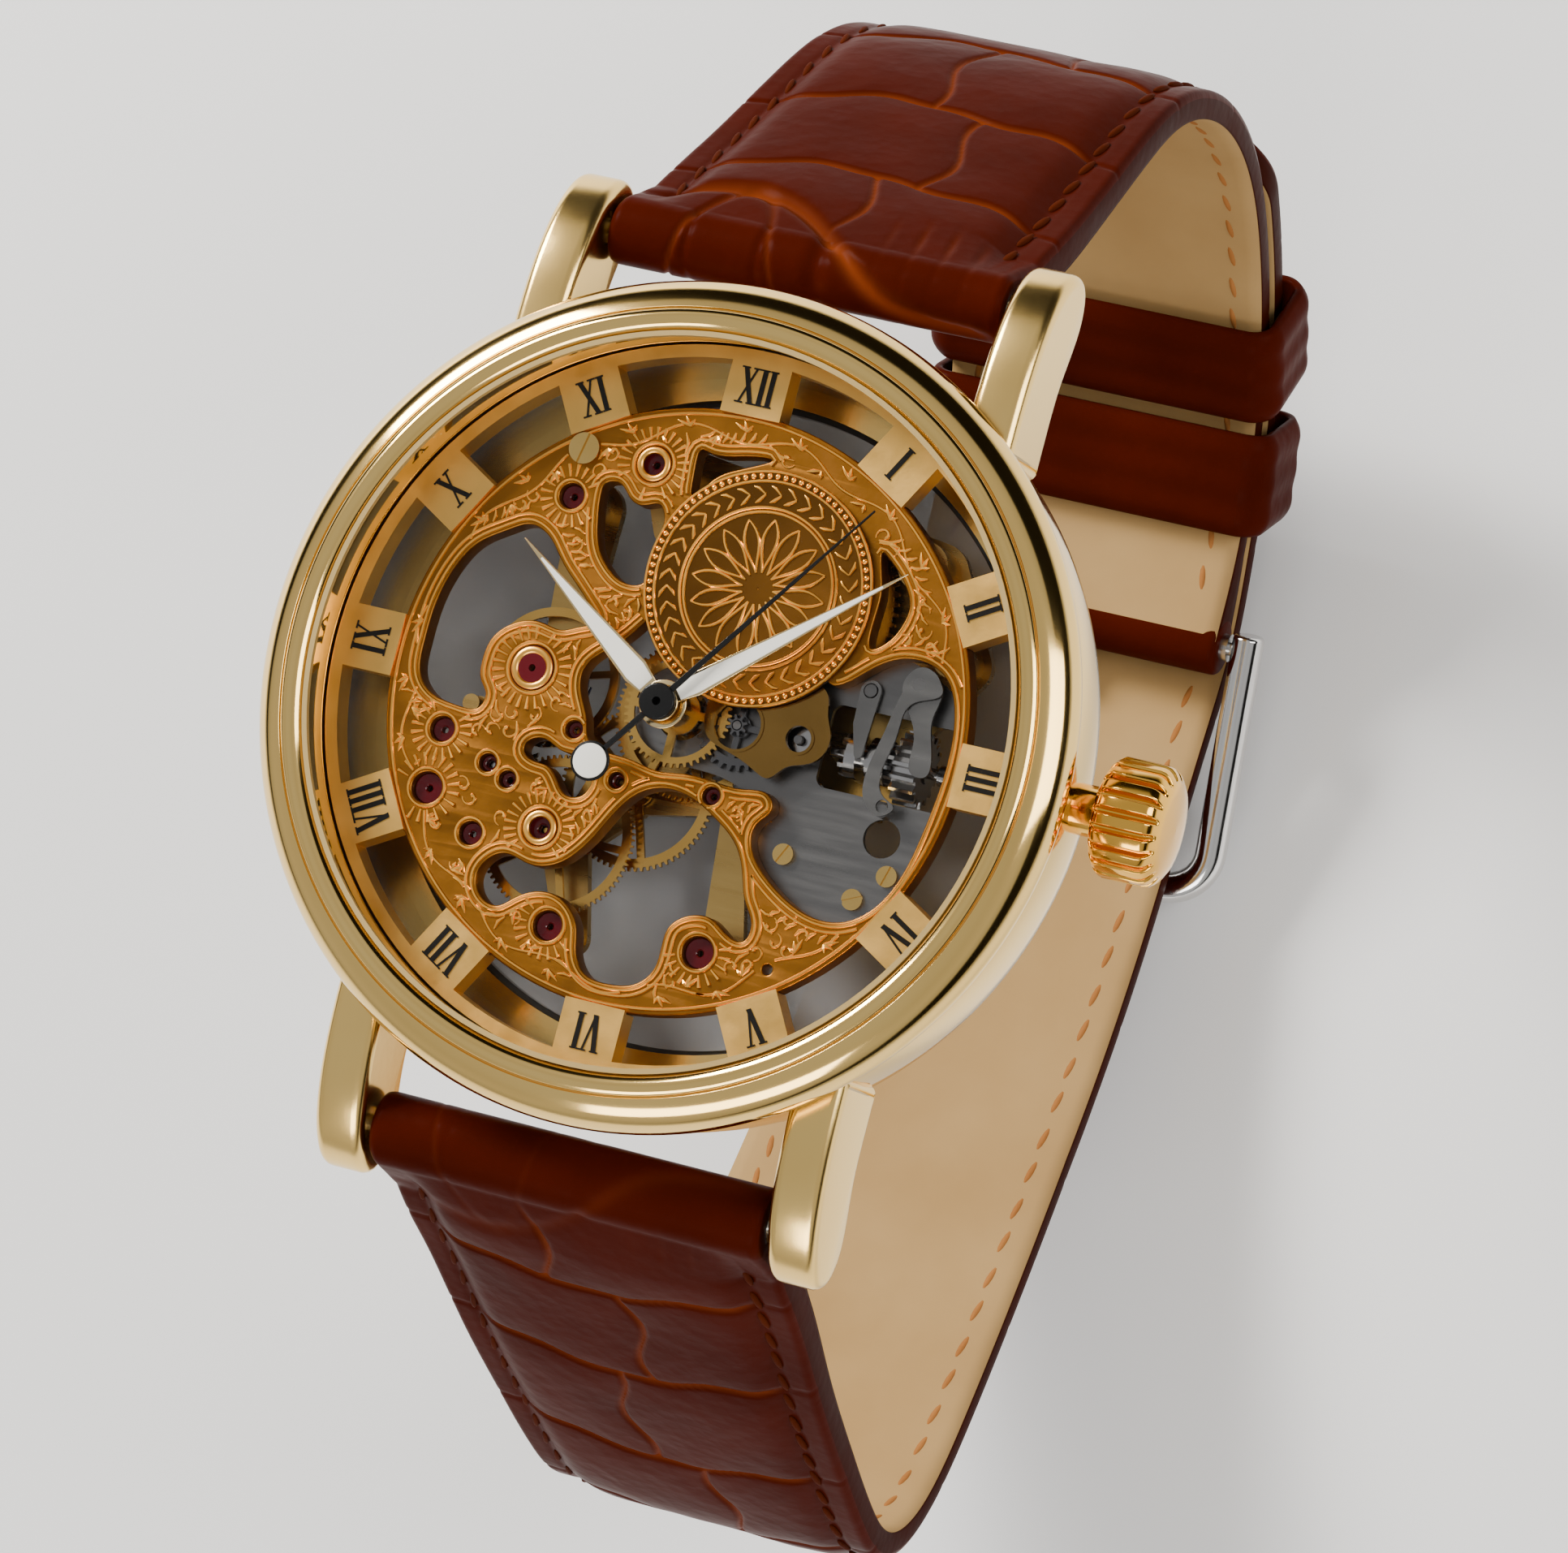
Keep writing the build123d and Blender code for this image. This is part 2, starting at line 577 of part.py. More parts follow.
def glyph_strokes(letter, x):
    """Strokes and serifs of one numeral letter whose left side is at x."""
    thick, thin, serif = 0.24, 0.1, 0.08
    if letter == "I":
        strokes = [slanted_stroke(x + 0.22, x + 0.22, thick)]
        feet, heads = [x + 0.22], [x + 0.22]
    elif letter == "V":
        strokes = [slanted_stroke(x + 0.49, x + 0.2, thick), slanted_stroke(x + 0.49, x + 0.8, thin)]
        feet, heads = [], [x + 0.2, x + 0.8]
    else:
        strokes = [slanted_stroke(x + 0.8, x + 0.2, thick), slanted_stroke(x + 0.18, x + 0.78, thin)]
        feet, heads = [x + 0.2, x + 0.78], [x + 0.2, x + 0.78]
    for middle in feet:
        strokes.append([(middle - 0.2, 0), (middle + 0.2, 0), (middle + 0.2, serif), (middle - 0.2, serif)])
    for middle in heads:
        low = numeral_height - serif
        strokes.append(
            [(middle - 0.2, low), (middle + 0.2, low),
             (middle + 0.2, numeral_height), (middle - 0.2, numeral_height)]
        )
    return strokes


with BuildPart() as hour_numerals:
    for hour, name in enumerate(numeral_names):
        turn = 90 - 30 * hour
        foot = polar(14.65, turn)
        outward = (cos(radians(turn)), sin(radians(turn)), 0)
        plane = Plane(
            origin=(foot[0], foot[1], dial_top), x_dir=(outward[1], -outward[0], 0), z_dir=(0, 0, 1)
        )
        with BuildSketch(plane):
            x = -sum(glyph_advance[letter] for letter in name) / 2
            for letter in name:
                for stroke in glyph_strokes(letter, x):
                    with BuildLine():
                        Polyline(*stroke, close=True)
                    make_face()
                x += glyph_advance[letter]
        extrude(amount=0.05)
hour_numerals.part.label = "hour_numerals"
export_step(hour_numerals.part, "parts/hour_numerals.step")

with BuildPart() as medallion:
    extrude(ring_face(level(barrel_centre, plate_top), medallion_radius), amount=0.3)
    extrude(ring_face(level(barrel_centre, plate_top + 0.3), medallion_radius, 5.35), amount=0.06)
    extrude(ring_face(level(barrel_centre, plate_top + 0.3), 4.85, 4.72), amount=0.06)
    extrude(ring_face(level(barrel_centre, plate_top + 0.3), 3.75, 3.62), amount=0.06)
medallion.part.label = "medallion"
export_step(medallion.part, "parts/medallion.step")

# Jewels pressed into the front plate and the bridges: place, outer radius, bore, height, thickness.
pivot_bore = pivot_radius + running_gap
bridge_thickness = bridge_top - bridge_bottom
jewels = [
    (balance_centre, 1.05, pivot_bore, plate_bottom, plate_top - plate_bottom),
    (barrel_centre, 0.9, 0.6, plate_bottom, plate_top - plate_bottom),
    (fourth_centre, 0.85, pivot_bore, plate_bottom, 0.5),
    (third_centre, 0.38, pivot_bore, plate_bottom, 0.5),
    (escape_centre, 0.42, pivot_bore, plate_bottom, 0.5),
]
for train_arbor in (balance_centre, fourth_centre, third_centre, escape_centre):
    jewels.append((train_arbor, 0.5, pivot_bore, bridge_bottom, bridge_thickness))

with BuildPart() as jewel_bearings:
    for place, outer, bore, z, thickness in jewels:
        extrude(ring_face(level(place, z), outer, bore), amount=thickness)
jewel_bearings.part.label = "jewel_bearings"
export_step(jewel_bearings.part, "parts/jewel_bearings.step")

# ================================================================ keyless plate and motion work
stem_window = (7.15, 13.45, -1.85, 2.1)
keyless_screws = [(6.6, -5.3), (10.4, -6.6), (11.75, -5.2)]
with BuildPart() as keyless_plate:
    thickness = plate_bottom - under_plate_bottom
    extrude(
        loop_face(
            Plane.XY.offset(under_plate_bottom),
            [(-2.3, 0.0), (-1.6, 1.8), (0.4, 2.3), (3.5, 1.9), (6.3, 3.3), (7.8, 4.6), (9.6, 4.9),
             (11.3, 4.4), (13.2, 3.2), (14.0, 0.0), (13.7, -3.0), (13.0, -5.6), (11.6, -7.8),
             (9.4, -8.5), (7.0, -7.9), (5.2, -6.6), (4.6, -4.9), (4.4, -3.4), (2.0, -2.4),
             (-0.6, -2.2), (-1.8, -1.6)],
        ),
        amount=thickness,
    )
    extrude(
        hull_face(level(barrel_centre, under_plate_bottom), [(0, 0, 5.95)]),
        amount=thickness / 2, mode=Mode.SUBTRACT,
    )
    with BuildSketch(Plane.XY.offset(under_plate_bottom)):
        with Locations(((stem_window[0] + stem_window[1]) / 2, (stem_window[2] + stem_window[3]) / 2)):
            RectangleRounded(stem_window[1] - stem_window[0], stem_window[3] - stem_window[2], 0.5)
        with Locations((0, 0)):
            Circle(1.25)
        with Locations((11.0, -3.55)):
            Circle(0.9)
    extrude(amount=thickness, mode=Mode.SUBTRACT)
    post_height = 0.75
    for x, y in (minute_wheel_centre, setting_centre):
        extrude(ring_face(level((x, y), plate_bottom), 0.2), amount=post_height)
    extrude(ring_face(level(yoke_pivot, plate_bottom), 0.3), amount=0.4)
    extrude(ring_face(level(lever_pivot, plate_bottom), 0.3), amount=spring_level + 0.14 - plate_bottom)
    extrude(ring_face(level((10.95, -2.35), plate_bottom), 0.32), amount=spring_level - plate_bottom)
keyless_plate.part.label = "keyless_plate"
export_step(keyless_plate.part, "parts/keyless_plate.step")

motion_level = 5.2
hour_level = 5.6
with BuildPart() as cannon_pinion:
    face = toothed_face(level(centre, motion_level), cannon_teeth, cannon_radius, cannon_phase, bore=0.4)
    extrude(face, amount=0.3)
    extrude(ring_face(Plane.XY.offset(under_plate_bottom - 0.25), 0.7, 0.4), amount=0.65)
    pipe_length = minute_hand_z + hand_thickness - motion_level
    extrude(ring_face(Plane.XY.offset(motion_level), 0.58, 0.4), amount=pipe_length)
cannon_pinion.part.label = "cannon_pinion"
export_step(cannon_pinion.part, "parts/cannon_pinion.step")

with BuildPart() as minute_wheel:
    face = toothed_face(
        level(minute_wheel_centre, motion_level), minute_wheel_teeth, minute_radius, minute_phase,
        bore=0.25, rim=0.35, arms=4, arm_width=0.3, hub=0.55,
    )
    extrude(face, amount=0.25)
    face = toothed_face(
        level(minute_wheel_centre, motion_level + 0.25), minute_pinion_teeth, minute_pinion_radius,
        minute_pinion_phase, bore=0.25,
    )
    extrude(face, amount=0.4)
minute_wheel.part.label = "minute_wheel"
export_step(minute_wheel.part, "parts/minute_wheel.step")

with BuildPart() as setting_wheel:
    setting_plane = level(setting_centre, plate_bottom + running_gap)
    face = toothed_face(setting_plane, setting_wheel_teeth, setting_radius, setting_phase, bore=0.25)
    extrude(face, amount=0.25)
setting_wheel.part.label = "setting_wheel"
export_step(setting_wheel.part, "parts/setting_wheel.step")

with BuildPart() as hour_wheel:
    face = toothed_face(
        level(centre, hour_level), hour_wheel_teeth, hour_radius, hour_phase,
        bore=0.62, rim=0.3, arms=4, arm_width=0.4, hub=1.1,
    )
    extrude(face, amount=0.2)
    pipe_length = hour_hand_z + hand_thickness - hour_level
    extrude(ring_face(Plane.XY.offset(hour_level), 0.88, 0.62), amount=pipe_length)
hour_wheel.part.label = "hour_wheel"
export_step(hour_wheel.part, "parts/hour_wheel.step")

motion_bridge_level = 5.93
with BuildPart() as motion_bridge:
    extrude(
        loop_face(
            Plane.XY.offset(motion_bridge_level),
            [(1.55, 1.3), (1.45, 0.2), (1.75, -0.75), (3.1, -1.35), (4.4, -1.85), (5.2, -2.1),
             (5.9, -1.45), (6.9, -1.05), (7.5, -0.55), (7.7, 0.4), (7.3, 1.4), (7.05, 2.3), (6.4, 2.7),
             (5.3, 2.3), (4.2, 1.8), (2.6, 1.7)],
        ),
        amount=0.22,
    )
    for x, y, well in ((*minute_wheel_centre, 1.15), (*setting_centre, 0.62)):
        well_plane = level((x + 0.15, y), motion_bridge_level)
        extrude(ring_face(well_plane, well), amount=0.3, mode=Mode.SUBTRACT)
        extrude(ring_face(well_plane, well + 0.14, well), amount=0.3)
    for x, y in ((6.4, 2.2), (5.05, -1.7)):
        post = ring_face(level((x, y), plate_bottom), 0.28)
        extrude(post, amount=motion_bridge_level - plate_bottom)
motion_bridge.part.label = "motion_bridge"
export_step(motion_bridge.part, "parts/motion_bridge.step")


# ================================================================ hands
def hand_plane(clock_angle, z):
    """Work plane on the centre arbor whose X axis runs along the hand."""
    turn = radians(90 - clock_angle)
    return Plane(origin=(0, 0, z), x_dir=(cos(turn), sin(turn), 0), z_dir=(0, 0, 1))


with BuildPart() as hour_hand:
    with BuildSketch(hand_plane(hour_angle, hour_hand_z)):
        with BuildLine():
            Polyline((0.6, -0.45), (2.1, -0.78), (10.6, 0), (2.1, 0.78), (0.6, 0.45), close=True)
        make_face()
        Circle(1.15)
        Circle(0.88, mode=Mode.SUBTRACT)
    extrude(amount=hand_thickness)
hour_hand.part.label = "hour_hand"
export_step(hour_hand.part, "parts/hour_hand.step")

with BuildPart() as minute_hand:
    with BuildSketch(hand_plane(minute_angle, minute_hand_z)):
        with BuildLine():
            Polyline((0.4, -0.35), (1.9, -0.62), (13.1, 0), (1.9, 0.62), (0.4, 0.35), close=True)
        make_face()
        Circle(0.85)
        Circle(0.58, mode=Mode.SUBTRACT)
    extrude(amount=hand_thickness)
minute_hand.part.label = "minute_hand"
export_step(minute_hand.part, "parts/minute_hand.step")

with BuildPart() as seconds_hand:
    with BuildSketch(hand_plane(seconds_angle, seconds_hand_z)):
        with BuildLine():
            Polyline(
                (-4.2, -0.12), (0, -0.16), (13.4, -0.05), (13.4, 0.05), (0, 0.16), (-4.2, 0.12),
                close=True,
            )
        make_face()
        with Locations((-4.2, 0)):
            Circle(0.95)
        Circle(0.75)
        Circle(0.2, mode=Mode.SUBTRACT)
    extrude(amount=0.12)
    extrude(ring_face(Plane.XY.offset(seconds_hand_z + 0.1), 0.6), amount=0.2)
    extrude(ring_face(Plane.XY.offset(seconds_hand_z), 0.2), amount=0.3, mode=Mode.SUBTRACT)
seconds_hand.part.label = "seconds_hand"
export_step(seconds_hand.part, "parts/seconds_hand.step")

# ================================================================ going train
with BuildPart() as seconds_pinion:
    face = toothed_face(
        level(centre, third_level - 0.05), seconds_pinion_teeth, seconds_pinion_radius, seconds_pinion_phase
    )
    extrude(face, amount=0.3)
    extrude(ring_face(Plane.XY.offset(bridge_bottom), pivot_radius), amount=0.7)
    extrude(ring_face(Plane.XY.offset(third_level), 0.2), amount=seconds_hand_z + 0.3 - third_level)
seconds_pinion.part.label = "seconds_pinion"
export_step(seconds_pinion.part, "parts/seconds_pinion.step")

with BuildPart() as centre_wheel:
    face = toothed_face(
        level(centre, centre_level), centre_wheel_teeth, centre_radius, centre_phase,
        bore=0.25, rim=0.45, arms=5, arm_width=0.42, hub=0.9,
    )
    extrude(face, amount=wheel_thickness)
    face = toothed_face(
        level(centre, fourth_level - 0.1), centre_pinion_teeth, centre_pinion_radius,
        centre_pinion_phase, bore=0.25,
    )
    extrude(face, amount=0.55)
    extrude(ring_face(Plane.XY.offset(centre_level), 0.4, 0.25), amount=minute_hand_z + 0.1 - centre_level)
centre_wheel.part.label = "centre_wheel"
export_step(centre_wheel.part, "parts/centre_wheel.step")

with BuildPart() as third_wheel:
    face = toothed_face(
        level(third_centre, third_level), third_wheel_teeth, third_radius, third_phase,
        rim=0.42, arms=5, arm_width=0.38, hub=0.75,
    )
    extrude(face, amount=wheel_thickness)
    face = toothed_face(
        level(third_centre, centre_level - 0.08), third_pinion_teeth, third_pinion_radius, third_pinion_phase
    )
    extrude(face, amount=0.36)
    extrude(ring_face(level(third_centre, third_level - 0.12), 0.2), amount=4.95 - third_level)
    extrude(ring_face(level(third_centre, pivot_start), pivot_radius), amount=pivot_end - pivot_start)
third_wheel.part.label = "third_wheel"
export_step(third_wheel.part, "parts/third_wheel.step")

with BuildPart() as fourth_wheel:
    face = toothed_face(
        level(fourth_centre, fourth_level), fourth_wheel_teeth, fourth_radius, fourth_phase,
        rim=0.4, arms=5, arm_width=0.36, hub=0.75,
    )
    extrude(face, amount=wheel_thickness)
    face = toothed_face(
        level(fourth_centre, third_level - 0.08), seconds_pinion_teeth, seconds_pinion_radius,
        fourth_pinion_phase,
    )
    extrude(face, amount=0.36)
    extrude(ring_face(level(fourth_centre, third_level - 0.12), 0.22), amount=4.95 - third_level)
    extrude(ring_face(level(fourth_centre, pivot_start), pivot_radius), amount=pivot_end - pivot_start)
fourth_wheel.part.label = "fourth_wheel"
export_step(fourth_wheel.part, "parts/fourth_wheel.step")

escape_tip = 1.9
escape_root = 1.45
with BuildPart() as escape_wheel:
    with BuildSketch(level(escape_centre, escape_level)):
        points = []
        for tooth in range(escape_teeth):
            start = tooth * 360 / escape_teeth
            points.append(polar(escape_root, start))
            points.append(polar(escape_tip - 0.1, start + 9))
            points.append(polar(escape_tip, start + 13))
            points.append(polar(escape_root + 0.05, start + 14))
        with BuildLine():
            Polyline(*points, close=True)
        make_face()
        Circle(1.15, mode=Mode.SUBTRACT)
        with PolarLocations(0.6, 4):
            Rectangle(1.3, 0.2)
        Circle(0.4)
    extrude(amount=wheel_thickness)
    face = toothed_face(
        level(escape_centre, fourth_level - 0.05), escape_pinion_teeth, escape_pinion_radius,
        escape_pinion_phase,
    )
    extrude(face, amount=0.4)
    extrude(ring_face(level(escape_centre, third_level), 0.16), amount=4.95 - third_level)
    extrude(ring_face(level(escape_centre, pivot_start), pivot_radius), amount=pivot_end - pivot_start)
escape_wheel.part.label = "escape_wheel"
export_step(escape_wheel.part, "parts/escape_wheel.step")

# ================================================================ escapement and balance
escape_line = direction(escape_centre, balance_centre)
pallet_reach = 2.35
pallet_centre = polar(pallet_reach, escape_line, escape_centre)
stone_reach = 1.97
fork_length = distance(pallet_centre, balance_centre) - 0.62

with BuildPart() as pallet_fork:
    for side in (-1, 1):
        stone = polar(stone_reach + 0.12, escape_line + side * 33, escape_centre)
        arm_end = polar(stone_reach + 0.32, escape_line + side * 31, escape_centre)
        arm = hull_face(Plane.XY.offset(escape_level), [(*pallet_centre, 0.22), (*arm_end, 0.14)])
        extrude(arm, amount=wheel_thickness)
        extrude(ring_face(level(stone, escape_level), 0.1), amount=wheel_thickness)
    lever = hull_face(
        Plane.XY.offset(escape_level),
        [(*pallet_centre, 0.25), (*polar(fork_length - 0.3, escape_line, pallet_centre), 0.12)],
    )
    extrude(lever, amount=wheel_thickness)
    for side in (-1, 1):
        tip = polar(fork_length - 0.3, escape_line + side * 9, pallet_centre)
        root = polar(fork_length - 0.4, escape_line, pallet_centre)
        horn = hull_face(Plane.XY.offset(escape_level), [(*root, 0.1), (*tip, 0.08)])
        extrude(horn, amount=wheel_thickness)
    extrude(ring_face(level(pallet_centre, escape_level), 0.15), amount=0.9)
    extrude(ring_face(level(pallet_centre, escape_level - 0.28), 0.1), amount=1.35)
pallet_fork.part.label = "pallet_fork"
export_step(pallet_fork.part, "parts/pallet_fork.step")

pallet_bridge_ends = [(-10.4, -1.75), (-5.4, -2.05)]
with BuildPart() as pallet_bridge:
    circles = [(x, y, 0.5) for x, y in pallet_bridge_ends] + [(*pallet_centre, 0.45)]
    extrude(hull_face(Plane.XY.offset(fourth_level), circles), amount=0.25)
    for x, y in pallet_bridge_ends:
        extrude(ring_face(level((x, y), fourth_level), 0.42), amount=plate_bottom - fourth_level)
    extrude(ring_face(level(pallet_centre, fourth_level), 0.15), amount=0.25, mode=Mode.SUBTRACT)
pallet_bridge.part.label = "pallet_bridge"
export_step(pallet_bridge.part, "parts/pallet_bridge.step")

balance_radius = 3.35
with BuildPart() as balance_wheel:
    with BuildSketch(level(balance_centre, centre_level)):
        Circle(balance_radius)
        Circle(balance_radius - 0.42, mode=Mode.SUBTRACT)
        with PolarLocations(0, 3, start_angle=15):
            with Locations((balance_radius / 2, 0)):
                Rectangle(balance_radius - 0.3, 0.34)
        Circle(0.55)
    extrude(amount=0.28)
    extrude(ring_face(level(balance_centre, escape_level), 0.5), amount=0.14)
    roller_pin = polar(0.36, escape_line + 180, balance_centre)
    extrude(ring_face(level(roller_pin, escape_level), 0.08), amount=0.3)
    extrude(ring_face(level(balance_centre, third_level - 0.1), 0.22), amount=4.95 - third_level)
    staff_length = pivot_end + 0.2 - pivot_start
    extrude(ring_face(level(balance_centre, pivot_start), pivot_radius), amount=staff_length)
balance_wheel.part.label = "balance_wheel"
export_step(balance_wheel.part, "parts/balance_wheel.step")


def spiral_band(about, inner, pitch, turns, width, steps_per_turn=24):
    """Corner points of a flat spiral strip."""
    count = int(turns * steps_per_turn)
    inner_side = []
    outer_side = []
    for step in range(count + 1):
        angle = step * 360 / steps_per_turn
        radius = inner + pitch * step / steps_per_turn
        inner_side.append(polar(radius, angle, about))
        outer_side.append(polar(radius + width, angle, about))
    return inner_side + outer_side[::-1]


with BuildPart() as hairspring:
    with BuildSketch(Plane.XY.offset(third_level)):
        with BuildLine():
            Polyline(*spiral_band(balance_centre, 0.32, 0.19, 8, 0.045), close=True)
        make_face()
    extrude(amount=0.18)
hairspring.part.label = "hairspring"
export_step(hairspring.part, "parts/hairspring.step")

with BuildPart() as balance_cock:
    arm = hull_face(
        Plane.XY.offset(bridge_bottom), [(cock_post[0], cock_post[1], 1.35), (*balance_centre, 0.95)]
    )
    extrude(arm, amount=bridge_top - bridge_bottom)
    extrude(ring_face(level(balance_centre, bridge_bottom - 0.3), 1.25, 0.5), amount=0.3)
    extrude(
        hull_face(Plane.XY.offset(bridge_bottom - 0.3), [(-7.4, 1.4, 0.22), (-6.3, 3.6, 0.16)]), amount=0.3
    )
    extrude(ring_face(level(cock_post[:2], bridge_bottom), cock_post[2]), amount=plate_bottom - bridge_bottom)
    extrude(ring_face(level(balance_centre, bridge_bottom - 0.3), 0.5), amount=0.9, mode=Mode.SUBTRACT)
balance_cock.part.label = "balance_cock"
export_step(balance_cock.part, "parts/balance_cock.step")

# ================================================================ barrel and winding wheels
drum_wall = 0.35
drum_radius = barrel_radius - 0.35
with BuildPart() as barrel_drum:
    face = toothed_face(
        level(barrel_centre, barrel_bottom), barrel_teeth, barrel_radius, barrel_phase, bore=0.85
    )
    extrude(face, amount=0.25)
    extrude(
        ring_face(level(barrel_centre, barrel_bottom + 0.25), drum_radius, drum_radius - drum_wall),
        amount=barrel_top - 0.15 - barrel_bottom - 0.25,
    )
barrel_drum.part.label = "barrel_drum"
export_step(barrel_drum.part, "parts/barrel_drum.step")

with BuildPart() as barrel_cover:
    extrude(ring_face(level(barrel_centre, barrel_top - 0.15), drum_radius, 0.85), amount=0.15)
barrel_cover.part.label = "barrel_cover"
export_step(barrel_cover.part, "parts/barrel_cover.step")

with BuildPart() as barrel_arbor:
    extrude(ring_face(level(barrel_centre, bridge_bottom), 0.8), amount=plate_bottom - 0.2 - bridge_bottom)
    extrude(ring_face(level(barrel_centre, barrel_bottom + 0.3), 1.3), amount=0.6)
    extrude(ring_face(level(barrel_centre, plate_bottom - 0.2), 0.55), amount=0.8)
    with BuildSketch(level(barrel_centre, ratchet_level)):
        Rectangle(1.1, 1.1)
    extrude(amount=bridge_bottom - ratchet_level)
barrel_arbor.part.label = "barrel_arbor"
export_step(barrel_arbor.part, "parts/barrel_arbor.step")

with BuildPart() as mainspring:
    with BuildSketch(Plane.XY.offset(barrel_bottom + 0.32)):
        with BuildLine():
            Polyline(*spiral_band(barrel_centre, 1.42, 0.36, 10, 0.1), close=True)
        make_face()
    extrude(amount=0.55)
mainspring.part.label = "mainspring"
export_step(mainspring.part, "parts/mainspring.step")

ratchet_thickness = 0.35
with BuildPart() as ratchet_wheel:
    face = toothed_face(level(barrel_centre, ratchet_level), ratchet_teeth, ratchet_radius, ratchet_phase)
    extrude(face, amount=ratchet_thickness)
    with BuildSketch(level(barrel_centre, ratchet_level)):
        Rectangle(1.1, 1.1)
        with PolarLocations(3.2, 6):
            Circle(0.8)
    extrude(amount=ratchet_thickness, mode=Mode.SUBTRACT)
ratchet_wheel.part.label = "ratchet_wheel"
export_step(ratchet_wheel.part, "parts/ratchet_wheel.step")

with BuildPart() as ratchet_screw:
    extrude(ring_face(level(barrel_centre, ratchet_level - 0.35), 1.1), amount=0.35)
    with BuildSketch(level(barrel_centre, ratchet_level - 0.35)):
        Rectangle(2.4, 0.28, rotation=30)
    extrude(amount=0.15, mode=Mode.SUBTRACT)
ratchet_screw.part.label = "ratchet_screw"
export_step(ratchet_screw.part, "parts/ratchet_screw.step")

with BuildPart() as crown_wheel:
    face = toothed_face(
        level(crown_wheel_centre, ratchet_level), crown_wheel_teeth, crown_wheel_radius, crown_wheel_phase,
        bore=1.05,
    )
    extrude(face, amount=ratchet_thickness)
crown_wheel.part.label = "crown_wheel"
export_step(crown_wheel.part, "parts/crown_wheel.step")

click_pivot = (-3.75, 8.6)
click_beak = polar(ratchet_radius + 0.11, 150, barrel_centre)
with BuildPart() as click:
    body = hull_face(Plane.XY.offset(ratchet_level), [(*click_pivot, 0.55), (*click_beak, 0.06)])
    extrude(body, amount=ratchet_thickness)
    extrude(ring_face(level(click_pivot, ratchet_level), 0.3), amount=ratchet_thickness, mode=Mode.SUBTRACT)
click.part.label = "click"
export_step(click.part, "parts/click.step")

with BuildPart() as click_spring:
    with BuildSketch(Plane.XY.offset(ratchet_level)):
        with BuildLine():
            Polyline(
                (-4.0, 11.4), (-3.6, 11.6), (-2.6, 10.6), (-3.1, 9.35), (-3.22, 9.4), (-2.78, 10.55),
                (-3.6, 11.3), close=True,
            )
        make_face()
    extrude(amount=0.25)
    extrude(ring_face(level((-4.1, 11.0), ratchet_level), 0.75), amount=0.25)
click_spring.part.label = "click_spring"
export_step(click_spring.part, "parts/click_spring.step")

# ================================================================ bridges and screws
with BuildPart() as barrel_bridge:
    outline = [(x, y, radius + 0.35) for x, y, radius in barrel_posts]
    outline += [(*barrel_centre, 1.9), (*crown_wheel_centre, 1.5), (-3.75, 8.6, 0.9)]
    extrude(hull_face(Plane.XY.offset(bridge_bottom), outline), amount=bridge_top - bridge_bottom)
    with BuildSketch(Plane.XY.offset(bridge_bottom)):
        with Locations((11.4, 0)):
            Rectangle(2.2, 3.6)
        with Locations(barrel_centre):
            Circle(0.85)
    extrude(amount=bridge_top - bridge_bottom, mode=Mode.SUBTRACT)
    for window in ([(4.6, 8.4), (7.6, 7.8), (8.0, 6.2), (5.4, 5.6), (4.4, 6.8)],
                   [(0.2, 8.8), (-0.8, 10.4), (1.8, 10.0), (3.4, 9.0), (2.0, 8.4)]):
        cut = loop_face(Plane.XY.offset(bridge_bottom), window)
        extrude(cut, amount=bridge_top - bridge_bottom, mode=Mode.SUBTRACT)
    for x, y, radius in barrel_posts:
        extrude(ring_face(level((x, y), bridge_top), radius), amount=plate_bottom - bridge_top)
    extrude(ring_face(level(click_pivot, ratchet_level), 0.25), amount=bridge_bottom - ratchet_level)
    extrude(ring_face(level(crown_wheel_centre, ratchet_level), 1.0), amount=bridge_bottom - ratchet_level)
barrel_bridge.part.label = "barrel_bridge"
export_step(barrel_bridge.part, "parts/barrel_bridge.step")

with BuildPart() as train_bridge:
    limbs = [
        [train_posts[0], (*escape_centre, 1.0), (*fourth_centre, 1.1)],
        [(*fourth_centre, 1.1), train_posts[1]],
        [(*fourth_centre, 1.1), (*third_centre, 1.0), (*centre, 1.1)],
        [(*third_centre, 1.0), train_posts[3]],
        [train_posts[3], train_posts[2]],
    ]
    for limb in limbs:
        circles = [(x, y, radius + 0.1) for x, y, radius in limb]
        extrude(hull_face(Plane.XY.offset(bridge_bottom), circles), amount=bridge_top - bridge_bottom)
    for x, y, radius in train_posts:
        extrude(ring_face(level((x, y), bridge_top), radius), amount=plate_bottom - bridge_top)
    for place in (fourth_centre, third_centre, escape_centre):
        cut = ring_face(level(place, bridge_bottom), 0.5)
        extrude(cut, amount=bridge_top - bridge_bottom, mode=Mode.SUBTRACT)
    cut = ring_face(Plane.XY.offset(bridge_bottom), pivot_radius + running_gap)
    extrude(cut, amount=bridge_top - bridge_bottom, mode=Mode.SUBTRACT)
train_bridge.part.label = "train_bridge"
export_step(train_bridge.part, "parts/train_bridge.step")

